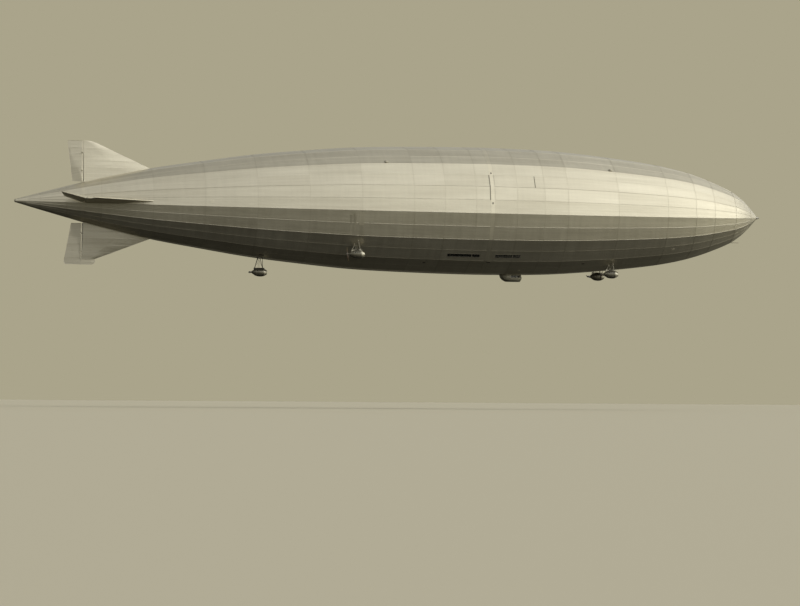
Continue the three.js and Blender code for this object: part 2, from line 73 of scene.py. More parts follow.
# The surround's light along the airship, from straight aft (0) to straight forward (1)
SURROUND_ALONG = [(0.2, 0.23), (0.35, 0.3), (0.485, 0.405), (0.6, 0.495), (0.705, 0.71), (0.94, 1.0)]
SURROUND_TINT = [(0.49, (1.0, 0.97, 0.75, 1)), (0.53, (0.98, 0.985, 0.94, 1))]
SURROUND_POWER = 2.28
# Where the surround turns to its darker far side, and the share of light that is left there
FAR_SIDE, FAR_SIDE_SHARE = (-0.3, 0.35), 0.42


def add_node(tree, kind, sockets=None, **settings):
    """A new shader node, with its settings, and a number or another node's output on its sockets."""
    made = tree.nodes.new(f"ShaderNode{kind}")
    for key, value in settings.items():
        setattr(made, key, value)
    for key, value in (sockets or {}).items():
        if isinstance(value, bpy.types.NodeSocket):
            tree.links.new(value, made.inputs[key])
        else:
            made.inputs[key].default_value = value
    return made


def ramp_of(tree, value, stops):
    """A colour ramp over a value, its stops given as (position, grey) or (position, colour)."""
    ramp = add_node(tree, "ValToRGB", {"Fac": value})
    while len(ramp.color_ramp.elements) < len(stops):
        ramp.color_ramp.elements.new(0.5)
    for element, (position, colour) in zip(ramp.color_ramp.elements, stops):
        element.position = position
        element.color = (colour, colour, colour, 1) if isinstance(colour, float) else colour
    return ramp.outputs["Color"]


def spread(tree, value, low, high, to_low, to_high, kind="LINEAR"):
    """A value's range moved on to another range."""
    sockets = {"Value": value, "From Min": low, "From Max": high, "To Min": to_low, "To Max": to_high}
    return add_node(tree, "MapRange", sockets, interpolation_type=kind).outputs["Result"]


def combine(tree, operation, first, second=0.0):
    return add_node(tree, "Math", {0: first, 1: second}, operation=operation).outputs["Value"]


def times(tree, first, second):
    return combine(tree, "MULTIPLY", first, second)


def new_finish(name, roughness, metallic=0.0):
    """A material for one finish, with its tree and its shader."""
    material = bpy.data.materials.new(name)
    material.use_nodes = True
    shader = material.node_tree.nodes["Principled BSDF"]
    shader.inputs["Roughness"].default_value = roughness
    shader.inputs["Metallic"].default_value = metallic
    return material, material.node_tree, shader


floor_finish, _, floor_shader = new_finish("studio_floor", 0.9)
floor_shader.inputs["Base Color"].default_value = FLOOR_COLOUR
floor_shader.inputs["Specular IOR Level"].default_value = 0.1
bpy.ops.mesh.primitive_plane_add(size=FLOOR_SIZE, location=(0, 0, FLOOR_Z))
floor = bpy.context.object
floor.name = "studio_floor"
floor.data.materials.append(floor_finish)
floor.visible_diffuse = False
floor.visible_glossy = False

bpy.ops.object.light_add(type="SUN", rotation=(math.pi / 2 - LAMP_HEIGHT, 0, LAMP_TURN))
lamp = bpy.context.object
lamp.data.energy = LAMP_POWER
lamp.data.angle = LAMP_SPREAD
lamp.data.color = LAMP_COLOUR

world = bpy.data.worlds.new("studio_surround")
bpy.context.scene.world = world
world.use_nodes = True
sky = world.node_tree
sky_way = add_node(sky, "TexCoord").outputs["Generated"]
sky_axes = add_node(sky, "SeparateXYZ", {"Vector": sky_way}).outputs
sky_height = spread(sky, sky_axes["Z"], -1, 1, 0, 1)
by_height = ramp_of(sky, sky_height, SURROUND)
by_side = spread(sky, sky_axes["Y"], *FAR_SIDE, 1, FAR_SIDE_SHARE, "SMOOTHSTEP")
by_length = ramp_of(sky, spread(sky, sky_axes["X"], -1, 1, 0, 1), SURROUND_ALONG)
strength = times(sky, times(sky, by_side, by_length), times(sky, by_height, SURROUND_POWER))
tint = ramp_of(sky, sky_height, SURROUND_TINT)
surround = add_node(sky, "Background", {"Color": tint, "Strength": strength})
backdrop = add_node(sky, "Background", {"Color": BACKDROP_COLOUR})
seen_directly = add_node(sky, "LightPath").outputs["Is Camera Ray"]
sky_sockets = {0: seen_directly, 1: surround.outputs["Background"], 2: backdrop.outputs["Background"]}
sky_mix = add_node(sky, "MixShader", sky_sockets)
sky.links.new(sky_mix.outputs["Shader"], sky.nodes["World Output"].inputs["Surface"])
bpy.context.scene.view_settings.view_transform = "Standard"

# Hull: doped fabric drawn tight over fifteen main longitudinals, with a reefing boom halfway between
# each two that pushes it out a little. Each section is one shell, panelled between the main frames.
HULL_SIDES = 15
RIDGE_SHARE = 0.985
HULL_WALL = 0.01
SECTIONS = [
    "tail_cone", "hull_stern", "hull_aft", "hull_midship", "hull_passenger",
    "hull_forward", "hull_bow", "hull_nose", "nose_cap",
]
WINDOWS = [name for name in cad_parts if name.startswith("window_")]
MAIN_FRAMES = [-11.09, -9.28, -6.21, -4.66, -1.51, 0.09, 2.02, 2.6, 3.32, 4.96, 6.62, 9.28, 9.97]
RING_STEP, LEAST_RING_STEP, RING_STEP_SHARE = 0.26, 0.03, 0.16
SEAM_WIDTH, SEAM_DEPTH, SEAM_LEAST_RADIUS = 0.014, 0.0025, 0.14
COVER_CREASE = 12
STEP_ANGLE = math.pi / HULL_SIDES
DOORWAY_AFT, DOORWAY_FORE, DOORWAY_HALF, DOORWAY_NEAR = 10.84, 11.105, 0.052, 0.4
MIDLINE = 0.0005
DOPE_DARK, DOPE_LIGHT = (0.56, 0.515, 0.405), (0.74, 0.69, 0.56)
DOPE_ROUGHNESS, DOPE_METALLIC = 0.4, 0.85
# The dope's mottling: its scale along and across the cloth, and how fine it is
STREAKS, SEAM_LINES = (0.35, 9.0, 5.0), (0.08, 42.0, 2.0)
RAIN_RUNS, PUCKERS = (7.0, 1.6, 5.0), (2.2, 14.0, 4.0)


def hull_rings():
    """The x and the top radius of each ring of the frame's hull, from tail to nose."""
    tops = {}
    for name in SECTIONS:
        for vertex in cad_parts[name].data.vertices:
            x, y, z = vertex.co
            if abs(y) < MIDLINE and z > 0:
                station = round(x, 3)
                tops[station] = max(tops.get(station, 0), z)
    return sorted(tops.items())


RINGS = hull_rings()


def slope_at(points, i):
    (x0, y0), (x1, y1) = points[max(i - 1, 0)], points[min(i + 1, len(points) - 1)]
    return (y1 - y0) / (x1 - x0)


def on_curve(points, x):
    """The height of a smooth curve through points, given as (x, height) in order of x."""
    i = min(max(sum(1 for point in points if point[0] < x) - 1, 0), len(points) - 2)
    (x0, y0), (x1, y1) = points[i], points[i + 1]
    span = x1 - x0
    u = (x - x0) / span
    rise = u * u * (3 - 2 * u)
    leave = u * (1 - u) * (1 - u) * span * slope_at(points, i)
    arrive = u * u * (u - 1) * span * slope_at(points, i + 1)
    return y0 + (y1 - y0) * rise + leave + arrive


def hull_radius(x):
    """The hull's radius at its main longitudinals, on a smooth curve through the frame's rings."""
    return on_curve(RINGS, x)


def hull_stations(low, high):
    """A section's main frames and ends, and its rings at even steps between them."""
    posts = [low] + [x for x in MAIN_FRAMES if low < x < high] + [high]
    stations = [low]
    for start, end in zip(posts, posts[1:]):
        step = min(RING_STEP, max(LEAST_RING_STEP, RING_STEP_SHARE * hull_radius((start + end) / 2)))
        count = max(1, math.ceil((end - start) / step))
        stations += [start + (end - start) * i / count for i in range(1, count + 1)]
    return posts, stations


def facet_of(point):
    """Which of the thirty strips between a longitudinal and a boom a point lies on, from the top."""
    return int((math.atan2(point.y, point.z) % (2 * math.pi)) / STEP_ANGLE)


def facet_edges(facet, x=0, radius=1, side=1):
    """A strip's upper and lower edge at a place along a hull of a radius, mirrored for side -1."""
    edges = []
    for corner in (facet, facet + 1):
        reach = radius * (1 if corner % 2 == 0 else RIDGE_SHARE)
        angle = corner * STEP_ANGLE
        edges.append(Vector((x, side * reach * math.sin(angle), reach * math.cos(angle))))
    return edges


def pick(piece, kind, wanted):
    """In object mode: selects only the vertices, edges or polygons that a test picks."""
    kinds = ("vertices", "edges", "polygons")
    bpy.context.tool_settings.mesh_select_mode = [kind == each for each in kinds]
    for each in kinds:
        elements = getattr(piece.data, each)
        picked = [bool(each == kind and wanted(element)) for element in elements]
        elements.foreach_set("select", picked)


def pick_faces(piece, wanted):
    pick(piece, "polygons", wanted)


def edit(piece, work):
    """Runs one piece of work on a piece in edit mode, and leaves it in object mode."""
    bpy.context.view_layer.objects.active = piece
    bpy.ops.object.mode_set(mode="EDIT")
    work()
    bpy.ops.object.mode_set(mode="OBJECT")


def take_out(piece, wanted):
    """Takes out the faces that a test picks."""
    pick_faces(piece, wanted)
    edit(piece, lambda: bpy.ops.mesh.delete(type="FACE"))


def deselect():
    bpy.ops.object.select_all(action="DESELECT")


def apply_place():
    """Puts the new object's place, turn and size into its mesh, and gives the object."""
    bpy.ops.object.transform_apply(location=True, rotation=True, scale=True)
    return bpy.context.object


def keep_modifier(piece, kind, **settings):
    """Adds a modifier with its settings and applies it."""
    modifier = piece.modifiers.new(kind.lower(), kind)
    for key, value in settings.items():
        setattr(modifier, key, value)
    bpy.context.view_layer.objects.active = piece
    bpy.ops.object.modifier_apply(modifier=modifier.name)


def shade(piece, degrees):
    """Smooth shading with creases at edges sharper than an angle."""
    deselect()
    piece.select_set(True)
    bpy.context.view_layer.objects.active = piece
    bpy.ops.object.shade_smooth_by_angle(angle=math.radians(degrees))
    deselect()


def draw_hull_tube(stations, proud=0.0):
    """A fifteen-sided tube drawn out ring by ring along the hull's axis."""
    def size(x):
        return hull_radius(x) + proud

    def turn_upright():
        bpy.ops.transform.rotate(value=math.pi / 2, orient_axis="X", center_override=(0, 0, 0))

    def draw_out():
        bpy.ops.transform.resize(value=(1, RIDGE_SHARE, RIDGE_SHARE), center_override=(0, 0, 0))
        bpy.ops.mesh.select_all(action="SELECT")
        first = size(stations[0])
        bpy.ops.transform.resize(value=(1, first, first), center_override=(0, 0, 0))
        bpy.ops.transform.translate(value=(stations[0], 0, 0))
        for here, there in zip(stations, stations[1:]):
            bpy.ops.mesh.extrude_region_move(TRANSFORM_OT_translate={"value": (there - here, 0, 0)})
            grow = size(there) / size(here)
            bpy.ops.transform.resize(value=(1, grow, grow), center_override=(there, 0, 0))
        bpy.ops.mesh.select_mode(type="FACE")
        bpy.ops.mesh.select_all(action="SELECT")
        bpy.ops.mesh.normals_make_consistent(inside=False)

    bpy.ops.mesh.primitive_circle_add(vertices=2 * HULL_SIDES, radius=1, rotation=(0, math.pi / 2, 0))
    tube = apply_place()
    edit(tube, turn_upright)
    pick(tube, "vertices", lambda point: round(math.atan2(point.co.y, point.co.z) / STEP_ANGLE) % 2 == 1)
    edit(tube, draw_out)
    return tube


def sink_panels(piece, turn_of, turns, width, depth, even=True):
    """Sets panels a little inside their borders, in turns, so that no two neighbours go at once."""
    def sink():
        bpy.ops.mesh.inset(thickness=width, depth=depth, use_boundary=True, use_even_offset=even)

    for turn in range(turns):
        pick_faces(piece, lambda face: turn_of(face) == turn)
        edit(piece, sink)


def cut_window(piece, wanted, planes, inside):
    """Cuts the wanted faces along planes and takes out those that then lie inside."""
    for place, normal in planes:
        pick_faces(piece, wanted)
        edit(piece, lambda: bpy.ops.mesh.bisect(plane_co=place, plane_no=normal))
    take_out(piece, inside)


def noise_of(tree, place, scale, detail=2.0, roughness=0.5):
    """Soft noise over a place."""
    sockets = {"Vector": place, "Scale": scale, "Detail": detail, "Roughness": roughness}
    return add_node(tree, "TexNoise", sockets).outputs["Fac"]


def add_relief(tree, shader, coarse, fine, fine_share, strength, distance):
    """A shader's fine relief: a coarse noise and a share of a fine one."""
    height = combine(tree, "ADD", coarse, times(tree, fine, fine_share))
    bump = add_node(tree, "Bump", {"Height": height, "Strength": strength, "Distance": distance})
    tree.links.new(bump.outputs["Normal"], shader.inputs["Normal"])


def silver_dope(name, shade_share=1.0, around=True):
    """Aluminium dope on fabric: streaked along the hull, run down by rain, and a little puckered."""
    material, tree, shader = new_finish(name, DOPE_ROUGHNESS, DOPE_METALLIC)
    place = add_node(tree, "TexCoord").outputs["Object"]
    axes = add_node(tree, "SeparateXYZ", {"Vector": place}).outputs
    across = combine(tree, "ARCTAN2" if around else "ADD", axes["Y"], axes["Z"])

    def mottle(along_scale, across_scale, detail):
        sockets = {"X": times(tree, axes["X"], along_scale), "Y": times(tree, across, across_scale)}
        way = add_node(tree, "CombineXYZ", sockets).outputs["Vector"]
        return noise_of(tree, way, 1.0, detail, 0.6)

    rain = mottle(*RAIN_RUNS)
    panel = add_node(tree, "Attribute", attribute_name="panel_tone").outputs["Fac"]
    tone = spread(tree, mottle(*STREAKS), 0.32, 0.68, 0.0, 0.3)
    for value, low, share in ((mottle(*SEAM_LINES), 0.3, 0.16), (rain, 0.3, 0.16), (panel, 0.0, 0.22)):
        tone = combine(tree, "ADD", tone, spread(tree, value, low, 1.0 - low, 0.0, share))
    # shade_share scales the dope: lighter or darker cloth on patches, bands and hatches, and painted shade on
    # the lower fin and rudder
    dark, light = ((*(shade_share * part for part in colour), 1) for colour in (DOPE_DARK, DOPE_LIGHT))
    tree.links.new(ramp_of(tree, tone, [(0.15, dark), (0.85, light)]), shader.inputs["Base Color"])
    gloss = spread(tree, rain, 0.3, 0.7, DOPE_ROUGHNESS - 0.04, DOPE_ROUGHNESS + 0.05)
    tree.links.new(gloss, shader.inputs["Roughness"])
    add_relief(tree, shader, mottle(*PUCKERS), noise_of(tree, place, 420.0), 0.06, 0.25, 0.012)
    return material


def tone_panels(piece, key_of):
    """Gives each panel its own small share of lightness, always the same for the same panel."""
    tones = piece.data.attributes.new("panel_tone", "FLOAT", "FACE")
    drawn = {}
    for face in piece.data.polygons:
        key = key_of(face)
        drawn.setdefault(key, random.Random(f"{piece.name} {key}").random())
        tones.data[face.index].value = drawn[key]


def strip_window(cover, node):
    """Opens a promenade window's strip in the cover, where the frame holds the window's glass."""
    low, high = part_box(node)
    middle = (low + high) / 2
    facet = facet_of(middle)
    upper, lower = facet_edges(facet)
    along = (lower - upper).normalized()
    height = (high.y - low.y) * abs(along.y) + (high.z - low.z) * abs(along.z)
    half = height / 2 - HULL_WALL / 4
    planes = [(middle + along * half, along), (middle - along * half, along)]
    planes += [((x, 0, 0), (1, 0, 0)) for x in (low.x, high.x)]

    def near(face):
        xs = [cover.data.vertices[i].co.x for i in face.vertices]
        return facet_of(face.center) == facet and max(xs) > low.x and min(xs) < high.x

    def inside(face):
        return near(face) and low.x < face.center.x < high.x and abs((face.center - middle).dot(along)) < half

    cut_window(cover, near, planes, inside)


def open_doorway(cover):
    """Opens the bow gangway's doorway in the keel."""
    planes = [((x, 0, 0), (1, 0, 0)) for x in (DOORWAY_AFT, DOORWAY_FORE)]
    planes += [((0, y, 0), (0, 1, 0)) for y in (-DOORWAY_HALF, DOORWAY_HALF)]

    def near(face):
        return face.center.z < 0 and abs(face.center.y) < DOORWAY_NEAR

    def inside(face):
        centre = face.center
        return near(face) and DOORWAY_AFT < centre.x < DOORWAY_FORE and abs(centre.y) < DOORWAY_HALF

    cut_window(cover, near, planes, inside)


hull_dope = silver_dope("hull_silver_dope")
for section in SECTIONS:
    low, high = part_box(section)
    posts, stations = hull_stations(low.x, high.x)
    cover = draw_hull_tube(stations)
    cover.name = f"{section}_cover"

    def panel_of(face):
        return sum(1 for x in posts[1:-1] if face.center.x > x), facet_of(face.center)

    def panel_turn(face):
        bay, facet = panel_of(face)
        return 2 * (bay % 2) + facet % 2 if hull_radius(face.center.x) > SEAM_LEAST_RADIUS else -1

    if section != "nose_cap":
        sink_panels(cover, panel_turn, 4, SEAM_WIDTH / 2, -SEAM_DEPTH)
    if section == "hull_passenger":
        for node in WINDOWS:
            strip_window(cover, node)
    if section == "hull_nose":
        open_doorway(cover)
    tone_panels(cover, panel_of)
    cover.data.materials.append(hull_dope)
    keep_modifier(cover, "SOLIDIFY", thickness=HULL_WALL, offset=-1, use_even_offset=True)
    shade(cover, COVER_CREASE)
    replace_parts(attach(cover, "root"), section)

# Frame tapes: the cover is laced down on each main frame, and a doped tape is stuck over the lacing.
# A broader band of new fabric lies over the rudder post, and another where the hull was lengthened.
TAPE_HALF, TAPE_PROUD, TAPE_THICKNESS, BAND_STEP = 0.012, 0.0015, 0.0026, 0.05
POST_BAND, JOIN_BAND, JOIN_EDGE, SLIT = (-9.87, -9.78), (2.468, 2.606), (2.44, 2.466), (3.88, 3.902)
# How far down the flanks the join and the slit go, in degrees from the top
JOIN_FLANK, SLIT_FLANK = (60, 84), (60, 72)


def join_pieces(pieces, name, finish=None, crease=None):
    """Joins several pieces into one, and gives it its finish and its shading."""
    deselect()
    for piece in pieces:
        piece.select_set(True)
    bpy.context.view_layer.objects.active = pieces[0]
    if len(pieces) > 1:
        bpy.ops.object.join()
    pieces[0].name = name
    deselect()
    if finish:
        pieces[0].data.materials.append(finish)
    if crease:
        shade(pieces[0], crease)
    return pieces[0]


def draw_band(low, high, proud, top=0, bottom=180):
    """A band of fabric round the hull, or on both its flanks between two angles from the top."""
    count = max(1, round((high - low) / BAND_STEP))
    band = draw_hull_tube([low + (high - low) * i / count for i in range(count + 1)], proud)

    def outside(face):
        turn = math.degrees(math.atan2(abs(face.center.y), face.center.z))
        return not top < turn < bottom

    take_out(band, outside)
    keep_modifier(band, "SOLIDIFY", thickness=TAPE_THICKNESS, offset=-1)
    return band


section_ends = [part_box(section)[1].x for section in SECTIONS[:-1]]
tapes = [draw_band(x - TAPE_HALF, x + TAPE_HALF, TAPE_PROUD) for x in sorted(MAIN_FRAMES + section_ends)]
tapes = join_pieces(tapes, "frame_tapes", hull_dope, COVER_CREASE)
bands = [
    draw_band(*POST_BAND, TAPE_PROUD), draw_band(*JOIN_BAND, TAPE_PROUD / 2),
    draw_band(*JOIN_BAND, TAPE_PROUD, *JOIN_FLANK),
]
bands = join_pieces(bands, "new_fabric_bands", silver_dope("new_silver_dope", 1.13), COVER_CREASE)
slits = [draw_band(*JOIN_EDGE, TAPE_PROUD, *JOIN_FLANK), draw_band(*SLIT, TAPE_PROUD, *SLIT_FLANK)]
slits = join_pieces(slits, "open_lacings", silver_dope("bare_lacing", 0.32), COVER_CREASE)
for piece in (tapes, bands, slits):
    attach(piece, "root")

# Hatches, patches and hoods on the cover: doped plywood and patches of stout fabric, laced or stuck on.
# The columns are x, the angle down from the top, and length, width and thickness.
PALE_PATCHES = [
    (-1.52, 104, 0.16, 0.4, 0.004), (-1.72, 108, 0.06, 0.62, 0.003), (-1.84, 110, 0.05, 0.66, 0.003),
    (-1.44, 116, 0.04, 0.3, 0.003), (10.79, 114, 0.11, 0.075, 0.004), (3.72, 162, 0.045, 0.045, 0.008),
    (-6.02, 90, 0.09, 0.09, 0.004), (8.6, 138, 0.12, 0.08, 0.004),
]
DARK_HATCHES = [
    (2.53, 58, 0.05, 0.06, 0.01), (2.53, 87, 0.05, 0.06, 0.01), (2.6, 146, 0.12, 0.06, 0.008),
    (-4.38, 162, 0.15, 0.09, 0.006), (0.6, 150, 0.08, 0.08, 0.006), (5.7, 150, 0.08, 0.08, 0.006),
]
HOODS = [(6.454, 46, 0.15, 0.09, 0.045), (-0.7, 46, 0.15, 0.09, 0.045)]
PLATE_ROUNDING, PLATE_CREASE, PLATE_EDGE = 0.012, 30, 40
HOOD_SKIN, HOOD_MOUTH, HOOD_SUNK, HOOD_CREASE = 0.003, -0.3, -0.1, 40
SLOPE_STEP = 0.02


def seat_of(point, along, out):
    """The matrix of a piece that stands on a point, its x along one way and its z along another."""
    matrix = Matrix((along, out.cross(along), out)).transposed().to_4x4()
    matrix.translation = point
    return matrix


def on_hull(x, degrees_down, side):
    """The place on the cover at an angle from the top, as the matrix of a piece that lies flat on it."""
    turn = math.radians(degrees_down)
    facet = int(turn / STEP_ANGLE)
    upper, lower = facet_edges(facet, x, hull_radius(x), side)
    share = 0.5 + math.tan(turn - (facet + 0.5) * STEP_ANGLE) / (2 * math.tan(STEP_ANGLE / 2))
    slope = (hull_radius(x + SLOPE_STEP) - hull_radius(x - SLOPE_STEP)) / (2 * SLOPE_STEP)
    down = (lower - upper).normalized()
    out = Vector((-slope, -down.z * side, down.y * side)).normalized()
    along = (Vector((1, 0, 0)) - out * out.x).normalized()
    return seat_of(upper.lerp(lower, share), along, out)


def settle(piece, matrix):
    """Moves a piece made at the origin to its place, with that place in its mesh."""
    piece.data.transform(matrix)
    return piece


def round_edges(piece, width, segments, degrees):
    """Rounds those edges of a piece that are sharper than an angle."""
    limits = {"limit_method": "ANGLE", "angle_limit": math.radians(degrees)}
    keep_modifier(piece, "BEVEL", width=width, segments=segments, **limits)


def new_block(size, place=(0, 0, 0)):
    """A squared block of a size, at a place."""
    bpy.ops.mesh.primitive_cube_add(size=1)
    bpy.context.object.scale = size
    bpy.context.object.location = place
    return apply_place()


def new_plate(length, width, thickness, rounding):
    """A flat plate with rounded corners and edges, half sunk in what it lies on."""
    plate = new_block((length, width, thickness))

    def upright(edge):
        first, last = (plate.data.vertices[i].co.z for i in edge.vertices)
        return abs(first - last) > thickness / 2

    pick(plate, "edges", upright)
    edit(plate, lambda: bpy.ops.mesh.bevel(offset=rounding, segments=4, affect="EDGES"))
    round_edges(plate, thickness / 4, 1, PLATE_EDGE)
    return plate


def new_hood(length, width, height):
    """A ventilator's hood: half a streamlined drop, open to the rear."""
    bpy.ops.mesh.primitive_uv_sphere_add(segments=20, ring_count=12, radius=1)
    bpy.context.object.scale = (length / 2, width / 2, height)
    hood = apply_place()
    take_out(hood, lambda face: face.center.z < HOOD_SUNK * height or face.center.x < HOOD_MOUTH * length)
    keep_modifier(hood, "SOLIDIFY", thickness=HOOD_SKIN, offset=-1)
    return hood


for name, rows, finish in (
    ("cover_patches", PALE_PATCHES, silver_dope("patch_silver_dope", 1.12)),
    ("cover_hatches", DARK_HATCHES, silver_dope("hatch_grey_dope", 0.42)),
):
    plates = []
    for x, down, length, width, thickness in rows:
        for side in (-1, 1):
            plates.append(settle(new_plate(length, width, thickness, PLATE_ROUNDING), on_hull(x, down, side)))
    plates = join_pieces(plates, name, finish, PLATE_CREASE)
    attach(plates, "root")
hoods = [settle(new_hood(*size), on_hull(x, down, side)) for x, down, *size in HOODS for side in (-1, 1)]
hoods = join_pieces(hoods, "ventilator_hoods", silver_dope("hood_dope", 0.7), HOOD_CREASE)
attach(hoods, "root")

# Promenade windows: long rows of small panes of clear celluloid in the flanks, below the light line,
# in painted duralumin bars, with a rail along the top and, in the forward rows, one along the middle.
PANE_PITCH, BAR_WIDTH, BAR_DEPTH, BAR_SOFTENING = 0.082, 0.006, 0.009, 0.2
RAIL_WIDTH, RAIL_DEPTH, SILL_WIDTH, SILL_DEPTH, RAIL_LAP = 0.014, 0.0126, 0.008, 0.0108, 0.03
WINDOW_DOWN = 138


def painted_metal(name, dark, light, roughness, metallic, grain):
    """Paint on sheet metal, mottled by oil and weather, with a fine unevenness of the sheet."""
    material, tree, shader = new_finish(name, roughness, metallic)
    place = add_node(tree, "TexCoord").outputs["Object"]
    stains = noise_of(tree, place, grain, 6.0, 0.65)
    colour = ramp_of(tree, stains, [(0.35, (*dark, 1)), (0.65, (*light, 1))])
    tree.links.new(colour, shader.inputs["Base Color"])
    gloss = spread(tree, stains, 0.3, 0.7, roughness + 0.08, roughness - 0.06)
    tree.links.new(gloss, shader.inputs["Roughness"])
    add_relief(tree, shader, stains, noise_of(tree, place, grain * 9, 3.0), 0.3, 0.25, 0.002)
    return material


def dark_glass(name, colour, alpha=1.0):
    """Window panes, dark against the unlit inside, with dust that dulls them here and there."""
    material, tree, shader = new_finish(name, 0.08)
    shader.inputs["Alpha"].default_value = alpha
    shader.inputs["IOR"].default_value = 1.45
    dust = noise_of(tree, add_node(tree, "TexCoord").outputs["Object"], 14.0, 5.0)
    dusty = tuple(part + 0.02 for part in colour)
    colour = ramp_of(tree, dust, [(0.4, (*colour, 1)), (0.7, (*dusty, 1))])
    tree.links.new(colour, shader.inputs["Base Color"])
    tree.links.new(spread(tree, dust, 0.35, 0.75, 0.05, 0.22), shader.inputs["Roughness"])
    return material


def give_finish(node, finish):
    """Gives its finish to a node that keeps its shape."""
    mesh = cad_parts[node].data
    mesh.materials.clear()
    mesh.materials.append(finish)


def new_bar(size, place=(0, 0, 0)):
    """A squared bar with softened edges, at a place."""
    bar = new_block(size, place)
    keep_modifier(bar, "BEVEL", width=BAR_SOFTENING * min(size), segments=1)
    return bar


promenade_glass = dark_glass("promenade_glass", (0.006, 0.006, 0.005))
frame_paint = painted_metal("window_frame_paint", (0.3, 0.275, 0.21), (0.42, 0.39, 0.3), 0.45, 0.3, 12.0)
sash_tones = (0.085, 0.079, 0.06), (0.15, 0.139, 0.108)
sash_paint = painted_metal("promenade_sash_paint", *sash_tones, 0.45, 0.3, 12.0)
for node in WINDOWS:
    give_finish(node, promenade_glass)
    low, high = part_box(node)
    length, middle = high.x - low.x, (low.x + high.x) / 2
    side = 1 if low.y > 0 else -1
    height = math.hypot(high.y - low.y, high.z - low.z)
    panes = round(length / PANE_PITCH)
    bar_size = (BAR_WIDTH, height, BAR_DEPTH)
    bars = [new_bar(bar_size, (i * length / panes - length / 2, 0, 0)) for i in range(panes + 1)]
    bars.append(new_bar((length + RAIL_LAP, RAIL_WIDTH, RAIL_DEPTH), (0, side * height / 2, 0)))
    bars.append(new_bar((length + RAIL_LAP, SILL_WIDTH, SILL_DEPTH), (0, -side * height / 2, 0)))
    if node.endswith("fore"):
        bars.append(new_bar((length, SILL_WIDTH, BAR_DEPTH)))
    frames = settle(join_pieces(bars, f"{node}_frames", sash_paint), on_hull(middle, WINDOW_DOWN, side))
    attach(frames, "root")

# Fins: thick cantilever fins of doped fabric over metal ribs, which stand just off the hull's cover.
# The ribs run along the airship, and show through the cloth as low ridges.
RIB_STEP, RIB_WIDTH, RIB_DEPTH, RIB_HOLD = 0.21, 0.008, 0.0022, 0.012
FIN_CREASE, FIN_FLAT = 38, math.radians(3)
FLAT_SHARE, FLAT_AREA = 0.9, 0.0015
MERGE_DISTANCE = 0.00005
FIN_ROOT = 0.46
# Each fin's way outwards, and its share of the cloth's lightness. The lower fin's dope is darker
# as painted shade, for the shade that falls under the ship.
FINS = {
    "fin_upper": ((0, 1), 1.0), "fin_lower": ((0, -1), 0.54),
    "fin_port": ((1, 0), 1.0), "fin_starboard": ((-1, 0), 1.0),
}


def copy_of_node(node, name, flat_angle):
    """A new piece with a merged copy of a node's mesh, which then stands for the node."""
    piece = bpy.data.objects.new(name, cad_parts[node].data.copy())
    bpy.context.scene.collection.objects.link(piece)
    piece.data.materials.clear()
    pick_faces(piece, lambda face: True)

    def merge():
        bpy.ops.mesh.select_all(action="SELECT")
        bpy.ops.mesh.remove_doubles(threshold=MERGE_DISTANCE)
        bpy.ops.mesh.dissolve_limited(angle_limit=flat_angle)
        bpy.ops.mesh.select_mode(type="FACE")

    deselect()
    edit(piece, merge)
    return piece


def rib_cover(piece, outwards, start, end):
    """Cuts a fin or a rudder at its ribs and sinks the cloth between them a little."""
    outwards = Vector((0, *outwards))
    count = round((end - start) / RIB_STEP)
    ribs = [start + (end - start) * i / count for i in range(1, count)]
    for rib in ribs:
        pick_faces(piece, lambda face: True)
        edit(piece, lambda: bpy.ops.mesh.bisect(plane_co=outwards * rib, plane_no=outwards))

    def bay_of(face):
        return sum(1 for rib in ribs if face.center.dot(outwards) > rib)

    def side_turn(face):
        flat = abs(face.normal.dot(outwards.cross(Vector((1, 0, 0))))) > FLAT_SHARE
        return bay_of(face) % 2 if flat and face.area > FLAT_AREA else -1

    sink_panels(piece, side_turn, 2, RIB_WIDTH / 2, -RIB_DEPTH, even=False)
    sink_panels(piece, side_turn, 2, RIB_HOLD, 0, even=False)
    tone_panels(piece, lambda face: (bay_of(face), face.normal.x > 0))


def draw_ribbed(node, outwards, root, shade_share):
    """A fin, a rudder or an elevator in doped cloth over ribs, its broad faces flat."""
    piece = copy_of_node(node, f"{node}_cover", FIN_FLAT)
    low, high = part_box(node)
    rib_cover(piece, outwards, root, max(abs(v) for v in (low.y, high.y, low.z, high.z)))
    piece.data.materials.append(silver_dope(f"{node}_dope", shade_share, around=False))
    shade(piece, FIN_CREASE)
    keep_modifier(piece, "WEIGHTED_NORMAL", keep_sharp=True, weight=80)
    return piece


for node, (outwards, shade_share) in FINS.items():
    fin = draw_ribbed(node, outwards, FIN_ROOT, shade_share)
    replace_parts(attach(fin, "root"), node)

# Rudders and elevators: ribbed like the fins and hinged behind them on pins. The lower rudder carries
# a balance area forward under its fin.
SURFACE_ROOT = 0.64
# Each surface's way outwards, and its share of the dope's lightness, darker on the lower rudder as painted
# shade
SURFACES = {
    "rudder_upper": ((0, 1), 0.92), "rudder_lower": ((0, -1), 0.69),
    "elevator_port": ((1, 0), 1.0), "elevator_starboard": ((-1, 0), 1.0),
}
for node, (outwards, shade_share) in SURFACES.items():
    surface = draw_ribbed(node, outwards, SURFACE_ROOT, shade_share)
    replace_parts(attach(surface, node), node)

# Mooring cone: a forged steel cone on a flange, bolted through the nose cap to the foremost frame.
CONE_BOLTS, CONE_BOLT_RING, CONE_BOLT_RADIUS, CONE_BOLT_HEIGHT = 12, 0.067, 0.0052, 0.0055
CONE_FLANGE = 0.0102


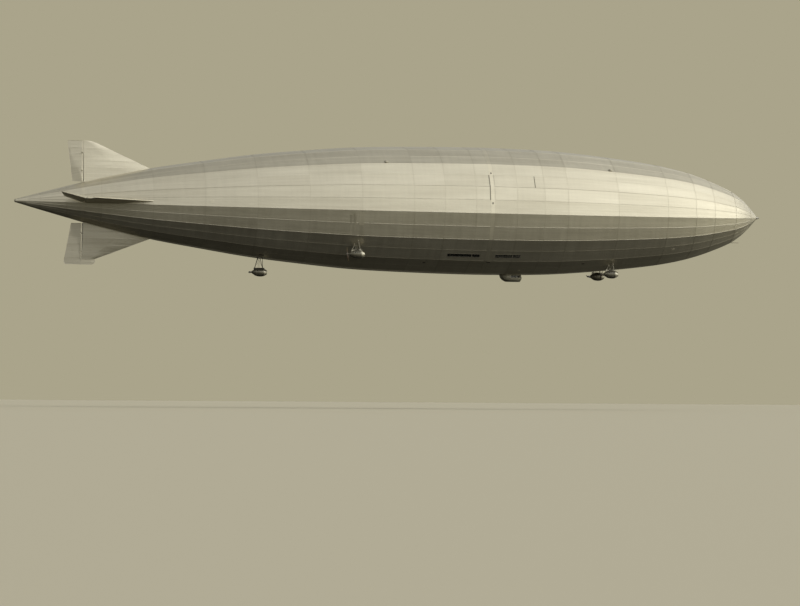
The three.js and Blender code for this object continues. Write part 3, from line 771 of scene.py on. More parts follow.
def draw_round(rings, sides, closed=True):
    """A body drawn out along x through rings, each with its x and its radius or its two half sizes."""
    rings = [(ring[0], ring[1], ring[-1]) for ring in rings]
    fill = "NGON" if closed else "NOTHING"
    bpy.ops.mesh.primitive_circle_add(vertices=sides, radius=1, fill_type=fill, rotation=(0, math.pi / 2, 0))
    bpy.context.object.location.x = rings[0][0]
    body = apply_place()

    def draw_out():
        bpy.ops.mesh.select_mode(type="VERT")
        bpy.ops.mesh.select_all(action="SELECT")
        bpy.ops.transform.resize(value=(1, *rings[0][1:]), center_override=(rings[0][0], 0, 0))
        for (x0, width0, height0), (x1, width1, height1) in zip(rings, rings[1:]):
            bpy.ops.mesh.extrude_region_move(TRANSFORM_OT_translate={"value": (x1 - x0, 0, 0)})
            grow = (1, width1 / width0, height1 / height0)
            bpy.ops.transform.resize(value=grow, center_override=(x1, 0, 0))
        bpy.ops.mesh.select_all(action="SELECT")
        bpy.ops.mesh.normals_make_consistent(inside=False)
        bpy.ops.mesh.select_mode(type="FACE")

    edit(body, draw_out)
    return body


def new_bolt(radius, height):
    """A hexagon head with a chamfered top, which stands on the origin and points along x."""
    return draw_round([(0, radius), (0.75 * height, radius), (height, 0.8 * radius)], 6)


def twin_of(piece, matrix):
    """A copy of a piece with its own mesh, moved by a matrix."""
    twin = piece.copy()
    twin.data = piece.data.copy()
    bpy.context.scene.collection.objects.link(twin)
    return settle(twin, matrix)


def set_round(piece, count):
    """A piece and its copies, turned evenly about the x axis."""
    turns = [Matrix.Rotation(2 * math.pi * i / count, 4, "X") for i in range(1, count)]
    return [piece] + [twin_of(piece, turn) for turn in turns]


cone_steel = painted_metal("worn_cone_steel", (0.24, 0.225, 0.19), (0.46, 0.43, 0.37), 0.34, 0.9, 24.0)
give_finish("mooring_cone", cone_steel)
bolt_seat = Matrix.Translation((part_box("mooring_cone")[0].x + CONE_FLANGE, 0, CONE_BOLT_RING))
cone_bolts = set_round(settle(new_bolt(CONE_BOLT_RADIUS, CONE_BOLT_HEIGHT), bolt_seat), CONE_BOLTS)
cone_bolts = join_pieces(cone_bolts, "cone_flange_bolts", cone_steel)
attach(cone_bolts, "root")

# Tail cap: a spun cap of duralumin that closes the cover at the tail's tip, with its lamp's round glass.
# The rings of both are x from the tail's end, and radius.
TAIL_CAP = [(-0.004, 0.018), (-0.0035, 0.03), (-0.0015, 0.0395), (0.0015, 0.0435), (0.03, 0.052)]
TAIL_LAMP = [(-0.01, 0.004), (-0.009, 0.009), (-0.006, 0.0125), (-0.003, 0.0135), (0.0000, 0.0135)]
PART_CREASE = 35
tail_lamp_glass = dark_glass("tail_lamp_glass", (0.05, 0.045, 0.035))
tail_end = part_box("tail_cone")[0].x
for name, rings, sides, finish, slot in (
    ("tail_cap", TAIL_CAP, 2 * HULL_SIDES, frame_paint, "car_metal"),
    ("tail_lamp", TAIL_LAMP, 24, tail_lamp_glass, "window_glass"),
):
    piece = draw_round([(tail_end + x, radius) for x, radius in rings], sides)
    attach(join_pieces([piece], name, finish, PART_CREASE), "root")

# Bow gangway: the door is a stiff panel that swings down on its aft edge until it is level, and then
# serves as the way on board. It has toe boards along both edges and battens across its upper face.
BATTENS, BATTEN_STEP, BATTEN_START, BATTEN_SIZE = 11, 0.024, 0.03, (0.005, 0.078, 0.0025)
TOE_BOARD_SIZE, TOE_BOARD_X, TOE_BOARD_Y = (0.262, 0.0035, 0.009), 0.152, 0.042
TREAD_SUNK = 0.0003
DOOR_PANEL_HALF, DOOR_HINGE_IN = 0.004, 0.008
BEADS, BEAD_LAP, BEAD_WIDTH, BEAD_HEIGHT, BEAD_OFF, BEAD_PROUD = 5, 1.25, 0.006, 0.004, 0.004, 0.001
gangway_paint = painted_metal("gangway_paint", (0.6, 0.555, 0.43), (0.76, 0.71, 0.56), 0.5, 0.1, 14.0)
gangway_ash = painted_metal("gangway_ash", (0.44, 0.38, 0.27), (0.6, 0.53, 0.39), 0.6, 0.0, 30.0)
give_finish("bow_gangway_door", gangway_paint)
door_low, door_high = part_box("bow_gangway_door")
door_root = Vector((door_low.x + DOOR_HINGE_IN, 0, (door_low.z + door_high.z) / 2 + DOOR_PANEL_HALF))
treads = []
for i in range(BATTENS):
    place = door_root + Vector((BATTEN_START + i * BATTEN_STEP, 0, BATTEN_SIZE[2] / 2 - TREAD_SUNK))
    treads.append(new_bar(BATTEN_SIZE, place))
for side in (-1, 1):
    place = door_root + Vector((TOE_BOARD_X, side * TOE_BOARD_Y, TOE_BOARD_SIZE[2] / 2 - TREAD_SUNK))
    treads.append(new_bar(TOE_BOARD_SIZE, place))
treads = join_pieces(treads, "gangway_treads", gangway_ash)
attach(treads, "bow_gangway_door")
beads = []
bead_step = (DOORWAY_FORE - DOORWAY_AFT) / BEADS
for i in range(BEADS):
    x = DOORWAY_AFT + (i + 0.5) * bead_step
    down = 180 - math.degrees(math.atan2(DOORWAY_HALF + BEAD_OFF, hull_radius(x)))
    for side in (-1, 1):
        bead = new_bar((BEAD_LAP * bead_step, BEAD_WIDTH, BEAD_HEIGHT), (0, 0, BEAD_PROUD))
        beads.append(settle(bead, on_hull(x, down, side)))
beads = join_pieces(beads, "doorway_beads", frame_paint)
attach(beads, "root")

# Power cars: streamlined cars of riveted sheet duralumin, slung below the hull. A bright nose cowl holds
# the radiator with its shutters, panes light the flanks, and tarred canvas covers the roof.
# The columns are how far the struts drop to the hull, and how far they spread there.
CARS = {
    "aft": (0.315, 0.24),
    "mid_port": (0.24, 0.15),
    "mid_starboard": (0.24, 0.15),
    "fore_port": (0.16, 0.11),
    "fore_starboard": (0.16, 0.11),
}
# The cowl's stations: x from the car's middle, half width and half height
COWL = [
    (-0.234, 0.026, 0.024), (-0.185, 0.058, 0.062), (-0.099, 0.088, 0.106), (0.045, 0.1, 0.125),
    (0.144, 0.094, 0.112), (0.203, 0.078, 0.09), (0.234, 0.06, 0.066),
]
COWL_AFT, COWL_FORE = COWL[0][0], COWL[-1][0]
COWL_BOSS = [
    (-0.256, 0.0134), (-0.259, 0.015), (-0.259, 0.0225), (-0.2565, 0.024), (-0.237, 0.0245, 0.024),
]
COWL_LIP = [
    (0.2385, 0.0592, 0.0648), (0.2405, 0.0572, 0.0618), (0.2395, 0.0556, 0.0592),
    (0.233, 0.0548, 0.0578), (0.206, 0.0548, 0.0578),
]
COWL_SIDES, COWL_RINGS, COWL_SKIN, COWL_CREASE = 48, 38, 0.002, 32
NEAR_X, NEAR_TURN = 0.005, 2
COWL_SEAMS = [-0.185, -0.1, -0.01, 0.06, 0.144]
COWL_SEAM_WIDTH, COWL_SEAM_DEPTH, COWL_SEAM_TURN = 0.0009, 0.0007, 45
CAR_PANES = [(-0.068, -0.02), (-0.006, 0.042), (0.056, 0.104)]
PANE_LOW, PANE_HIGH = 0.03, 0.074
PANE_FRAME, PANE_FRAME_RISE, PANE_EDGE, PANE_SUNK = 0.003, 0.0012, 0.0012, 0.0032
ROOF_TURN, ROOF_FROM, ROOF_TO = 40, -0.17, 0.13
NOSE_COWL_FROM = 0.14
PAINT, ROOF, POLISH, GLASS = range(4)
# The radiator's core, and the shutters before it with their bar
CORE_XS, CORE_HALF_WIDTH, CORE_HALF_HEIGHT = (0.2, 0.212), 0.0545, 0.0575
SHUTTERS_EACH_WAY, SHUTTER_STEP, SHUTTER_X, SHUTTER_TILT = 5, 0.0098, 0.223, math.radians(28)
SHUTTER_HALF_WIDTH, SHUTTER_LENGTH, SHUTTER_THICKNESS = 0.0535, 0.0095, 0.0014
SHUTTER_BAR_X, SHUTTER_BAR_SIZE = 0.229, (0.004, 0.004, 0.108)
# The fittings' places on the cowl: x, the turn from its top, and how far they stand off it
LOUVRES, LOUVRE_FROM, LOUVRE_STEP, LOUVRE_TURN = 7, -0.16, 0.012, 98
LOUVRE_SIZE, LOUVRE_OFF = (0.003, 0.036, 0.005), 0.001
HANDRAIL_XS, HANDRAIL_TURN, HANDRAIL_OFF = (-0.15, -0.085, -0.02, 0.045, 0.11), 45, 0.0085
HANDRAIL_RADIUS, HANDRAIL_POST_RADIUS, HANDRAIL_SUNK = 0.0014, 0.0011, 0.001
STEP_BAR = [(-0.095, 120, 0), (-0.095, 125, 0.016), (-0.065, 125, 0.016), (-0.065, 120, 0)]
STRAKE_XS, STRAKE_OFF, STRAKE_RADIUS = (-0.13, -0.06, 0.02, 0.09, 0.15), 0.0025, 0.0045
EXHAUST_TURN, EXHAUST_RADIUS, EXHAUST_COLLAR = 30, 0.0065, [(0, 0.01), (0.004, 0.01)]
EXHAUST_WAY = [(0.052, -0.006), (0.05, 0.012), (0.034, 0.022), (-0.01, 0.024), (-0.07, 0.026)]
# The cars' paint is far darker than the hull's silver dope: painted shade for the shadow under the hull.
car_paint = painted_metal("car_paint", (0.115, 0.106, 0.08), (0.2, 0.185, 0.143), 0.34, 0.75, 16.0)
roof_tar = painted_metal("tarred_canvas", (0.03, 0.027, 0.02), (0.075, 0.068, 0.052), 0.75, 0.0, 40.0)
nose_polish = painted_metal("nose_cowl_metal", (0.4, 0.374, 0.302), (0.54, 0.505, 0.409), 0.27, 0.88, 20.0)
car_glass = dark_glass("car_pane_glass", (0.012, 0.012, 0.01))
exhaust_iron = painted_metal("burnt_iron", (0.03, 0.024, 0.018), (0.105, 0.08, 0.058), 0.65, 0.6, 60.0)
radiator_iron = painted_metal("radiator_iron", (0.018, 0.017, 0.014), (0.05, 0.046, 0.037), 0.5, 0.5, 90.0)


def measure_at(rows, column, x):
    """One measure of a table of stations, on a smooth curve through it."""
    return on_curve([(row[0], row[column]) for row in rows], x)


def cowl_size(x):
    """The cowl's half width and half height at a place along it."""
    return measure_at(COWL, 1, x), measure_at(COWL, 2, x)


def on_cowl(x, degrees, off=0.0):
    """A point on the cowl or just off it, at an angle from its top towards port."""
    width, height = cowl_size(x)
    turn = math.radians(degrees)
    return Vector((x, (width + off) * math.sin(turn), (height + off) * math.cos(turn)))


def cowl_seat(x, degrees):
    """The matrix of a piece that lies flat on the cowl, its x along the car and its z out of it."""
    along = (on_cowl(x + NEAR_X, degrees) - on_cowl(x - NEAR_X, degrees)).normalized()
    across = (on_cowl(x, degrees - NEAR_TURN) - on_cowl(x, degrees + NEAR_TURN)).normalized()
    return seat_of(on_cowl(x, degrees), along, along.cross(across).normalized())


def cowl_turn(face):
    """Where a face of the cowl stands, in degrees from its top towards port."""
    width, height = cowl_size(face.center.x)
    return math.degrees(math.atan2(face.center.y / width, face.center.z / height))


def new_pipe(points, radius, sides=3):
    """A round pipe or rail bent smoothly through points, with closed ends."""
    bpy.ops.curve.primitive_bezier_curve_add()
    pipe = bpy.context.object
    pipe.data.splines.clear()
    spline = pipe.data.splines.new("BEZIER")
    spline.bezier_points.add(len(points) - 1)
    for knot, point in zip(spline.bezier_points, points):
        knot.co = point
        knot.handle_left_type = knot.handle_right_type = "AUTO"
    pipe.data.dimensions = "3D"
    pipe.data.resolution_u = 6
    pipe.data.bevel_depth = radius
    pipe.data.bevel_resolution = sides
    pipe.data.use_fill_caps = True
    bpy.ops.object.convert(target="MESH")
    return bpy.context.object


def new_rod(start, end, radius, sides=8):
    """A straight round rod between two points."""
    way = Vector(end) - Vector(start)
    rod = draw_round([(0, radius), (way.length, radius)], sides)
    turn = way.to_track_quat("X", "Z").to_matrix().to_4x4()
    return settle(rod, Matrix.Translation(start) @ turn)


def draw_cowl():
    """One car's cowl about the origin, with its panes, its seams, its roof and its nose."""
    steps = [COWL_AFT + (COWL_FORE - COWL_AFT) * i / COWL_RINGS for i in range(COWL_RINGS + 1)]
    rings = COWL_BOSS + [(x, *cowl_size(x)) for x in steps] + COWL_LIP
    cowl = draw_round(rings, COWL_SIDES, closed=False)
    for finish in (car_paint, roof_tar, nose_polish, car_glass):
        cowl.data.materials.append(finish)
    for face in cowl.data.polygons:
        x = face.center.x
        if abs(cowl_turn(face)) < ROOF_TURN and ROOF_FROM < x < ROOF_TO:
            face.material_index = ROOF
        elif x > NOSE_COWL_FROM:
            face.material_index = POLISH
    for low, high in CAR_PANES:
        for side in (-1, 1):
            def on_pane(face):
                x, y, z = face.center
                return low < x < high and side * y > 0 and PANE_LOW < z < PANE_HIGH

            def sink_pane():
                bpy.ops.mesh.inset(thickness=PANE_FRAME, depth=PANE_FRAME_RISE)
                bpy.ops.mesh.inset(thickness=PANE_EDGE, depth=-PANE_SUNK)

            pick_faces(cowl, on_pane)
            edit(cowl, sink_pane)
            for face in cowl.data.polygons:
                if face.select:
                    face.material_index = GLASS

    def panel_turn(face):
        x = face.center.x
        if face.material_index == GLASS or x < COWL_AFT or x > COWL_FORE:
            return -1
        bay = sum(1 for seam in COWL_SEAMS if x > seam)
        return 2 * (bay % 2) + int((cowl_turn(face) + 180) / COWL_SEAM_TURN) % 2

    sink_panels(cowl, panel_turn, 4, COWL_SEAM_WIDTH, -COWL_SEAM_DEPTH)
    keep_modifier(cowl, "SOLIDIFY", thickness=COWL_SKIN, offset=-1)
    shade(cowl, COWL_CREASE)
    return cowl


def draw_radiator():
    """The radiator's core in the nose, with its shutters before it and the bar that works them."""
    parts = [draw_round([(x, CORE_HALF_WIDTH, CORE_HALF_HEIGHT) for x in CORE_XS], 40)]
    for i in range(-SHUTTERS_EACH_WAY, SHUTTERS_EACH_WAY + 1):
        z = i * SHUTTER_STEP
        half = SHUTTER_HALF_WIDTH * math.sqrt(1 - (z / CORE_HALF_HEIGHT) ** 2)
        tilt = Matrix.Translation((SHUTTER_X, 0, z)) @ Matrix.Rotation(SHUTTER_TILT, 4, "Y")
        parts.append(settle(new_bar((SHUTTER_LENGTH, 2 * half, SHUTTER_THICKNESS)), tilt))
    parts.append(new_bar(SHUTTER_BAR_SIZE, (SHUTTER_BAR_X, 0, 0)))
    return join_pieces(parts, "radiator", radiator_iron, PART_CREASE)


def draw_car_fittings():
    """A car's louvres, handrails, step bars and rubbing strake, about the origin."""
    fittings = []
    for side in (-1, 1):
        for i in range(LOUVRES):
            seat = cowl_seat(LOUVRE_FROM + i * LOUVRE_STEP, side * LOUVRE_TURN)
            fittings.append(settle(new_bar(LOUVRE_SIZE, (0, 0, LOUVRE_OFF)), seat))
        handrail = [on_cowl(x, side * HANDRAIL_TURN, HANDRAIL_OFF) for x in HANDRAIL_XS]
        fittings.append(new_pipe(handrail, HANDRAIL_RADIUS))
        for end in handrail:
            foot = on_cowl(end.x, side * HANDRAIL_TURN, -HANDRAIL_SUNK)
            fittings.append(new_rod(foot, end, HANDRAIL_POST_RADIUS))
        step_bar = [on_cowl(x, side * turn, off) for x, turn, off in STEP_BAR]
        fittings.append(new_pipe(step_bar, HANDRAIL_RADIUS))
    fittings.append(new_pipe([on_cowl(x, 180, STRAKE_OFF) for x in STRAKE_XS], STRAKE_RADIUS))
    return join_pieces(fittings, "fittings", car_paint, PART_CREASE)


def draw_exhausts():
    """The exhaust pipes, which leave the roof on both sides and bend aft."""
    pipes = []
    for turn in (-EXHAUST_TURN, EXHAUST_TURN):
        pipes.append(new_pipe([on_cowl(x, turn, off) for x, off in EXHAUST_WAY], EXHAUST_RADIUS, 4))
        collar = settle(draw_round(EXHAUST_COLLAR, 16), Matrix.Rotation(-math.pi / 2, 4, "Y"))
        pipes.append(settle(collar, cowl_seat(EXHAUST_WAY[0][0], turn)))
    return join_pieces(pipes, "exhausts", exhaust_iron, PART_CREASE)


def car_middle(name):
    """Where a car's own middle is."""
    low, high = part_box(f"car_{name}")
    return Vector((high.x - COWL_FORE, (low.y + high.y) / 2, (low.z + high.z) / 2))


models = {
    "cowl": draw_cowl(), "radiator": draw_radiator(),
    "fittings": draw_car_fittings(), "exhausts": draw_exhausts(),
}
for name in CARS:
    for kind, model in models.items():
        piece = twin_of(model, Matrix.Translation(car_middle(name)))
        piece.name = f"car_{name}_{kind}"
        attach(piece, "root")
        if kind == "cowl":
            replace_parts(piece, f"car_{name}")
for model in models.values():
    bpy.data.objects.remove(model)

# Engines: heavy-oil engines, of which only the mass is carried here, each a cast block on the bearers
# in its car's bottom.
engine_iron = painted_metal("engine_cast_iron", (0.03, 0.029, 0.026), (0.08, 0.076, 0.066), 0.6, 0.6, 40.0)
for name in CARS:
    give_finish(f"engine_{name}", engine_iron)

# Struts: faired steel tubes in pairs from a saddle on each car's roof up to the hull's frame, braced by
# crossed wires. A ladder runs between them from the hull down to the car. The aft car's are painted
# darker, as painted shade for the shadow under the hull.
# The columns are the x of a pair's feet and of its heads, its share of the spread, and its wires' feet.
STRUT_PAIRS = [(-0.14, -0.045, 0.2, 0.11), (0.11, 0.065, 1.0, -0.14)]
ROOF_TOP, SADDLE_TOP = 0.125, 0.137
WIRE_RADIUS, COLLAR_RADIUS, COLLAR_LENGTH, COLLAR_START = 0.0013, 0.0115, 0.03, 0.012
LADDER_X, LADDER_HALF, LADDER_SUNK, LADDER_RADIUS = -0.015, 0.02, 0.002, 0.0022
RUNG_STEP, RUNG_RADIUS = 0.026, 0.0015
STRUT_FLAT, STRUT_CREASE, STRUT_ROUNDING, STRUT_EDGE = math.radians(1), 48, 0.0015, 60
HULL_SEARCH_STEP = 0.004
strut_steel = painted_metal("strut_steel", (0.3, 0.28, 0.22), (0.5, 0.47, 0.38), 0.42, 0.7, 30.0)
# The aft car's struts get a much darker paint: painted shade for the shadow of the hull above them.
aft_strut_shade_tones = (0.035, 0.032, 0.025), (0.08, 0.074, 0.058)
aft_strut_painted_shade = painted_metal("sooted_strut_steel", *aft_strut_shade_tones, 0.5, 0.5, 30.0)


def meet_hull(start, way):
    """Where a line from a car runs into the hull's cover, and a little past it."""
    point, step = Vector(start), Vector(way).normalized() * HULL_SEARCH_STEP
    while math.hypot(point.y, point.z) > hull_radius(point.x) * RIDGE_SHARE:
        point += step
    return point + step


for name, (drop, spread_out) in CARS.items():
    strut_finish = aft_strut_painted_shade if name == "aft" else strut_steel
    tubes = copy_of_node(f"struts_{name}", f"struts_{name}_tubes", STRUT_FLAT)
    tubes.data.materials.append(strut_finish)
    round_edges(tubes, STRUT_ROUNDING, 2, STRUT_EDGE)
    shade(tubes, STRUT_CREASE)
    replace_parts(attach(tubes, "root"), f"struts_{name}")
    middle = car_middle(name)
    up = Vector((0, -middle.y, -middle.z)).normalized()
    across = Vector((0, up.z, -up.y))
    parts = []
    for foot, head, share, wire_foot in STRUT_PAIRS:
        for side in (-1, 1):
            start = middle + Vector((foot, 0, ROOF_TOP))
            end = middle + Vector((head, 0, ROOF_TOP)) + up * drop + across * (side * share * spread_out)
            way = (end - start).normalized()
            top = meet_hull(start, way)
            collar = start + way * COLLAR_START
            parts.append(new_rod(collar, collar + way * COLLAR_LENGTH, COLLAR_RADIUS, 14))
            parts.append(new_rod(top - way * COLLAR_LENGTH, top, COLLAR_RADIUS, 14))
            parts.append(new_rod(middle + Vector((wire_foot, 0, SADDLE_TOP)), top, WIRE_RADIUS, 6))
    ladder = []
    for side in (-1, 1):
        foot = middle + Vector((LADDER_X + side * LADDER_HALF, 0, SADDLE_TOP - LADDER_SUNK))
        ladder.append((foot, meet_hull(foot, up)))
        parts.append(new_rod(*ladder[-1], LADDER_RADIUS))
    (left_foot, left_top), (right_foot, right_top) = ladder
    for i in range(1, int((left_top - left_foot).length / RUNG_STEP) + 1):
        rise = up * (i * RUNG_STEP)
        parts.append(new_rod(left_foot + rise, right_foot + rise, RUNG_RADIUS))
    rigging = join_pieces(parts, f"rigging_{name}", strut_finish, PART_CREASE)
    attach(rigging, "root")

# Propellers: two-bladed pushers laminated from boards of walnut and mahogany, their tips and leading
# edges sheathed in brass, clamped between steel plates on the shaft that leaves the car's tail.
# The blade's stations: reach from the shaft, chord, thickness and twist in degrees
BLADE = [
    (0.012, 0.028, 0.024, 62), (0.045, 0.034, 0.019, 50), (0.08, 0.044, 0.014, 40),
    (0.16, 0.05, 0.009, 27), (0.225, 0.036, 0.006, 20), (0.24, 0.022, 0.0045, 18),
    (0.2455, 0.008, 0.003, 18),
]
CHORD, THICKNESS, TWIST = 1, 2, 3
BLADE_RINGS, BLADE_SIDES, RING_CROWDING, SAME_RING = 18, 20, 0.85, 0.0002
HUB_X = -0.284
HUB_RINGS = [
    (-0.222, 0.012), (-0.263, 0.012), (-0.265, 0.02), (-0.266, 0.028), (-0.267, 0.0295), (-0.271, 0.03),
    (-0.272, 0.0275), (-0.296, 0.0275), (-0.297, 0.03), (-0.301, 0.0295), (-0.302, 0.026),
    (-0.306, 0.0245), (-0.314, 0.0215), (-0.322, 0.0165), (-0.328, 0.0095), (-0.33, 0.002),
]
HUB_WOOD_FROM, HUB_WOOD_TO = -0.296, -0.272
HUB_BOLTS, HUB_BOLT_RADIUS, HUB_BOLT_HEIGHT, HUB_BOLT_X, HUB_BOLT_RING = 8, 0.0032, 0.0035, -0.3012, 0.0237
SHEATH_FROM, SHEATH_SHARE, TIP_FROM = 0.115, 0.72, 0.205
BLADE_TURNS = {"aft": 90, "mid_port": 25, "mid_starboard": 155, "fore_port": 100, "fore_starboard": 50}
PROPELLER_CREASE = 40
WOOD, BRASS, STEEL = range(3)


def laminated_wood(name):
    """Varnished laminations along the blade's own boards, light and dark in turn, with fine grain."""
    material, tree, shader = new_finish(name, 0.28)
    shader.inputs["Coat Weight"].default_value = 0.5
    shader.inputs["Coat Roughness"].default_value = 0.12
    board = add_node(tree, "Attribute", attribute_name="board").outputs["Vector"]
    axes = add_node(tree, "SeparateXYZ", {"Vector": board}).outputs
    layers = combine(tree, "SINE", times(tree, axes["X"], 900.0))
    scales = {"X": 500.0, "Y": 260.0, "Z": 22.0}
    stretched = {axis: times(tree, axes[axis], scale) for axis, scale in scales.items()}
    way = add_node(tree, "CombineXYZ", stretched).outputs["Vector"]
    grain = noise_of(tree, way, 1.0, 5.0)
    share = combine(tree, "ADD", times(tree, layers, 0.2), grain)
    stops = [
        (0.25, (0.045, 0.027, 0.015, 1)), (0.5, (0.1, 0.064, 0.036, 1)), (0.8, (0.165, 0.112, 0.066, 1)),
    ]
    tree.links.new(ramp_of(tree, share, stops), shader.inputs["Base Color"])
    bump = add_node(tree, "Bump", {"Height": grain, "Strength": 0.12, "Distance": 0.0005})
    tree.links.new(bump.outputs["Normal"], shader.inputs["Normal"])
    return material


def draw_blade():
    """One blade above the shaft: drawn out flat along x, stood upright and then twisted ring by ring."""
    root, tip = BLADE[0][0], BLADE[-1][0]
    reaches = [root + (tip - root) * (i / BLADE_RINGS) ** RING_CROWDING for i in range(BLADE_RINGS + 1)]
    sizes = [[measure_at(BLADE, column, reach) / 2 for column in (CHORD, THICKNESS)] for reach in reaches]
    rings = [(reach, *size) for reach, size in zip(reaches, sizes)]
    blade = settle(draw_round(rings, BLADE_SIDES), Matrix.Rotation(-math.pi / 2, 4, "Y"))
    for reach in reaches:
        def twist_ring():
            turn = math.radians(measure_at(BLADE, TWIST, reach))
            bpy.ops.transform.rotate(value=turn, orient_axis="Z", center_override=(0, 0, reach))

        pick(blade, "vertices", lambda point: abs(point.co.z - reach) < SAME_RING)
        edit(blade, twist_ring)
    return blade


def draw_propeller():
    """A whole propeller about its car's origin, its blades upright."""
    blade = draw_blade()
    for face in blade.data.polygons:
        reach = face.center.z
        turn = math.radians(measure_at(BLADE, TWIST, reach))
        lead = -(face.center.x * math.sin(turn) + face.center.y * math.cos(turn))
        sheathed = reach > SHEATH_FROM and lead > SHEATH_SHARE * measure_at(BLADE, CHORD, reach) / 2
        face.material_index = BRASS if reach > TIP_FROM or sheathed else WOOD
    settle(blade, Matrix.Translation((HUB_X, 0, 0)))
    other = twin_of(blade, Matrix.Rotation(math.pi, 4, "X"))
    hub = draw_round(HUB_RINGS, 32)
    for face in hub.data.polygons:
        face.material_index = WOOD if HUB_WOOD_FROM < face.center.x < HUB_WOOD_TO else STEEL
    bolt = settle(new_bolt(HUB_BOLT_RADIUS, HUB_BOLT_HEIGHT), Matrix.Rotation(math.pi, 4, "Y"))
    bolts = set_round(settle(bolt, Matrix.Translation((HUB_BOLT_X, 0, HUB_BOLT_RING))), HUB_BOLTS)
    for piece in bolts:
        piece.data.polygons.foreach_set("material_index", [STEEL] * len(piece.data.polygons))
    for piece in [blade, other, hub] + bolts:
        for finish in (propeller_wood, tip_brass, hub_steel):
            piece.data.materials.append(finish)
    propeller = join_pieces([blade, other, hub] + bolts, "propeller")
    boards = propeller.data.attributes.new("board", "FLOAT_VECTOR", "POINT")
    for vertex in propeller.data.vertices:
        boards.data[vertex.index].vector = vertex.co
    shade(propeller, PROPELLER_CREASE)
    return propeller


propeller_wood = laminated_wood("laminated_walnut")
tip_brass = painted_metal("tip_brass", (0.22, 0.17, 0.085), (0.4, 0.325, 0.175), 0.34, 0.95, 50.0)
hub_steel = painted_metal("hub_steel", (0.16, 0.155, 0.14), (0.34, 0.33, 0.3), 0.3, 0.9, 60.0)
propeller_model = draw_propeller()
for name, blade_turn in BLADE_TURNS.items():
    turn = Matrix.Rotation(math.radians(blade_turn), 4, "X")
    propeller = twin_of(propeller_model, Matrix.Translation(car_middle(name)) @ turn)
    propeller.name = f"propeller_{name}_blades"
    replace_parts(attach(propeller, f"propeller_{name}"), f"propeller_{name}")
bpy.data.objects.remove(propeller_model)

# Control car: a small cabin of painted sheet under the keel, with panes from its flanks round the front
# and rails along their edges. Inside are a floor, a chart table and the two steering wheels.
# The cabin's outline: z, aft end, fore end and half width at each level
CABIN_LEVELS = [
    (-1.9, 3.22, 3.898, 0.154), (-2.072, 3.282, 3.938, 0.165), (-2.14, 3.35, 3.914, 0.156),
    (-2.188, 3.44, 3.892, 0.124),
]
# Its plan, from aft to fore: share of the length, share of the half width
CABIN_PLAN = [(0.0, 0.4), (0.1, 0.78), (0.28, 1.0), (0.82, 1.0), (1.0, 0.7)]
PANES_LOW, PANES_HIGH = -2.066, -1.996
CABIN_POSTS, POST_RADIUS, POST_PROUD = (3.57, 3.665, 3.76, 3.855), 0.0026, 0.0008
# Its rails: height, where they start on the flanks, and radius
CABIN_RAILS = [(-2.069, 3.56, 0.0032), (-1.993, 3.56, 0.0032), (-2.14, 3.46, 0.0022), (-2.106, 3.42, 0.0016)]
RAIL_PROUD = 0.001
CABIN_FLAT, CABIN_CREASE, CABIN_ROUNDING, CABIN_EDGE = math.radians(1.5), 25, 0.0012, 22
DECK_LOW, DECK_TOP, DECK_X = -2.1795, -2.176, 3.6625
DECK_LENGTH, DECK_WIDTH, DECK_ROUNDING = 0.4, 0.19, 0.04
# Its steering wheels: x, y and turn
WHEELS = [(3.85, 0.0, 0.0), (3.74, 0.095, math.pi / 2)]
WHEEL_Z, WHEEL_RADIUS, RIM_RADIUS, SPOKE_RADIUS = -2.105, 0.034, 0.0028, 0.0016
COLUMN_BEHIND, COLUMN_RADIUS = 0.006, 0.007
TABLE_X, TABLE_Z, TABLE_SIZE, TABLE_ROUNDING = 3.61, -2.115, (0.11, 0.07, 0.005), 0.008
TABLE_LEG_TOP, TABLE_LEG_RADIUS = -2.116, 0.006
cabin_paint = painted_metal("cabin_paint", (0.16, 0.148, 0.113), (0.25, 0.231, 0.178), 0.45, 0.6, 9.0)
cabin_glass = dark_glass("cabin_glass", (0.02, 0.02, 0.017), 0.55)
cabin_wood = painted_metal("cabin_mahogany", (0.05, 0.026, 0.013), (0.125, 0.068, 0.034), 0.4, 0.0, 35.0)


def cabin_flank(z):
    """The cabin's port flank at a height, as (x, y) from aft to fore."""
    for upper, lower in zip(CABIN_LEVELS, CABIN_LEVELS[1:]):
        if z >= lower[0] or lower is CABIN_LEVELS[-1]:
            share = (upper[0] - z) / (upper[0] - lower[0])
            aft, fore, half = (a + (b - a) * share for a, b in zip(upper[1:], lower[1:]))
            return [(aft + (fore - aft) * along, across * half) for along, across in CABIN_PLAN]


def flank_at(flank, x):
    """How far out a flank stands at a place along it."""
    for (x0, y0), (x1, y1) in zip(flank, flank[1:]):
        if x0 <= x <= x1:
            return y0 + (y1 - y0) * (x - x0) / (x1 - x0)


def cabin_rail(z, start):
    """Points round the cabin at a height, from one flank's start round the front to the other's."""
    flank = [(x, y + RAIL_PROUD) for x, y in cabin_flank(z)]
    flank[-1] = (flank[-1][0] + RAIL_PROUD, flank[-1][1])
    turns = [(start, flank_at(flank, start))] + [(x, y) for x, y in flank if x > start]
    return [Vector((x, y, z)) for x, y in turns] + [Vector((x, -y, z)) for x, y in reversed(turns)]


def draw_rail(points, radius):
    """A rail of straight rods with rounded elbows through points."""
    rods = [new_rod(start, end, radius) for start, end in zip(points, points[1:])]
    for point in points:
        bpy.ops.mesh.primitive_uv_sphere_add(segments=8, ring_count=6, radius=radius, location=point)
        rods.append(apply_place())
    return rods


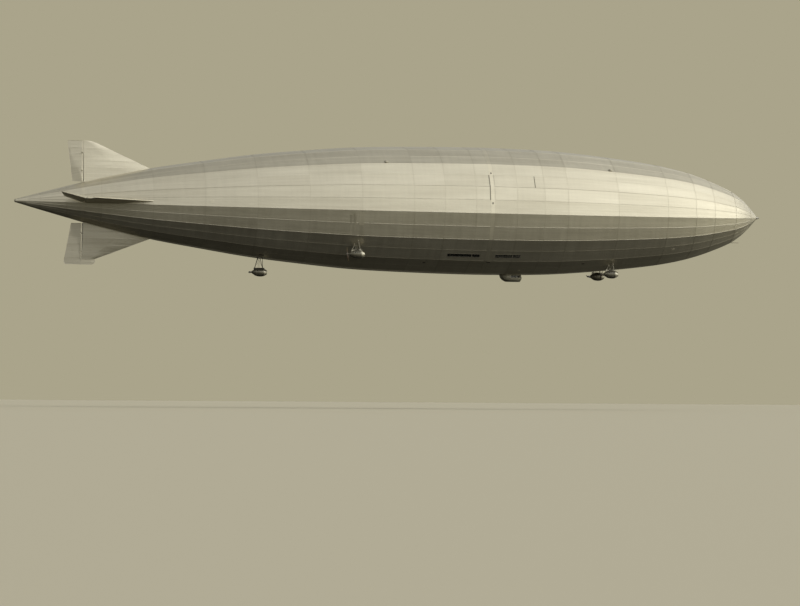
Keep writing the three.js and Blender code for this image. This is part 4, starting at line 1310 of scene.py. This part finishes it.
def draw_wheel():
    """A steering wheel about the origin, its axle along x."""
    rim_settings = {"major_radius": WHEEL_RADIUS, "minor_radius": RIM_RADIUS, "major_segments": 28}
    bpy.ops.mesh.primitive_torus_add(**rim_settings, minor_segments=8, rotation=(0, math.pi / 2, 0))
    rim = apply_place()
    spoke = new_rod((0, 0, -WHEEL_RADIUS), (0, 0, WHEEL_RADIUS), SPOKE_RADIUS, 6)
    others = [twin_of(spoke, Matrix.Rotation(math.radians(60 * i), 4, "X")) for i in (1, 2)]
    return join_pieces([rim, spoke] + others, "wheel")


cabin = copy_of_node("control_car", "control_car_cabin", CABIN_FLAT)
cabin.data.materials.append(cabin_paint)
round_edges(cabin, CABIN_ROUNDING, 2, CABIN_EDGE)
shade(cabin, CABIN_CREASE)
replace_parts(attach(cabin, "root"), "control_car")
give_finish("control_car_glass", cabin_glass)

rails = []
for z, start, radius in CABIN_RAILS:
    rails += draw_rail(cabin_rail(z, start), radius)
for x in CABIN_POSTS:
    for side in (-1, 1):
        reaches = [(z, flank_at(cabin_flank(z), x) + POST_PROUD) for z in (PANES_LOW, PANES_HIGH)]
        rails.append(new_rod(*(Vector((x, side * reach, z)) for z, reach in reaches), POST_RADIUS))
rails = join_pieces(rails, "cabin_rails", frame_paint, PART_CREASE)
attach(rails, "root")

deck = new_plate(DECK_LENGTH, DECK_WIDTH, DECK_TOP - DECK_LOW, DECK_ROUNDING)
furniture = [settle(deck, Matrix.Translation((DECK_X, 0, (DECK_TOP + DECK_LOW) / 2)))]
for x, y, turn in WHEELS:
    wheel_seat = Matrix.Translation((x, y, WHEEL_Z)) @ Matrix.Rotation(turn, 4, "Z")
    furniture.append(settle(draw_wheel(), wheel_seat))
    column_x = x - COLUMN_BEHIND
    furniture.append(new_rod((column_x, y, DECK_TOP), (column_x, y, WHEEL_Z), COLUMN_RADIUS, 12))
furniture.append(settle(new_plate(*TABLE_SIZE, TABLE_ROUNDING), Matrix.Translation((TABLE_X, 0, TABLE_Z))))
furniture.append(new_rod((TABLE_X, 0, DECK_TOP), (TABLE_X, 0, TABLE_LEG_TOP), TABLE_LEG_RADIUS, 12))
furniture = join_pieces(furniture, "cabin_fittings", cabin_wood, PART_CREASE)
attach(furniture, "root")
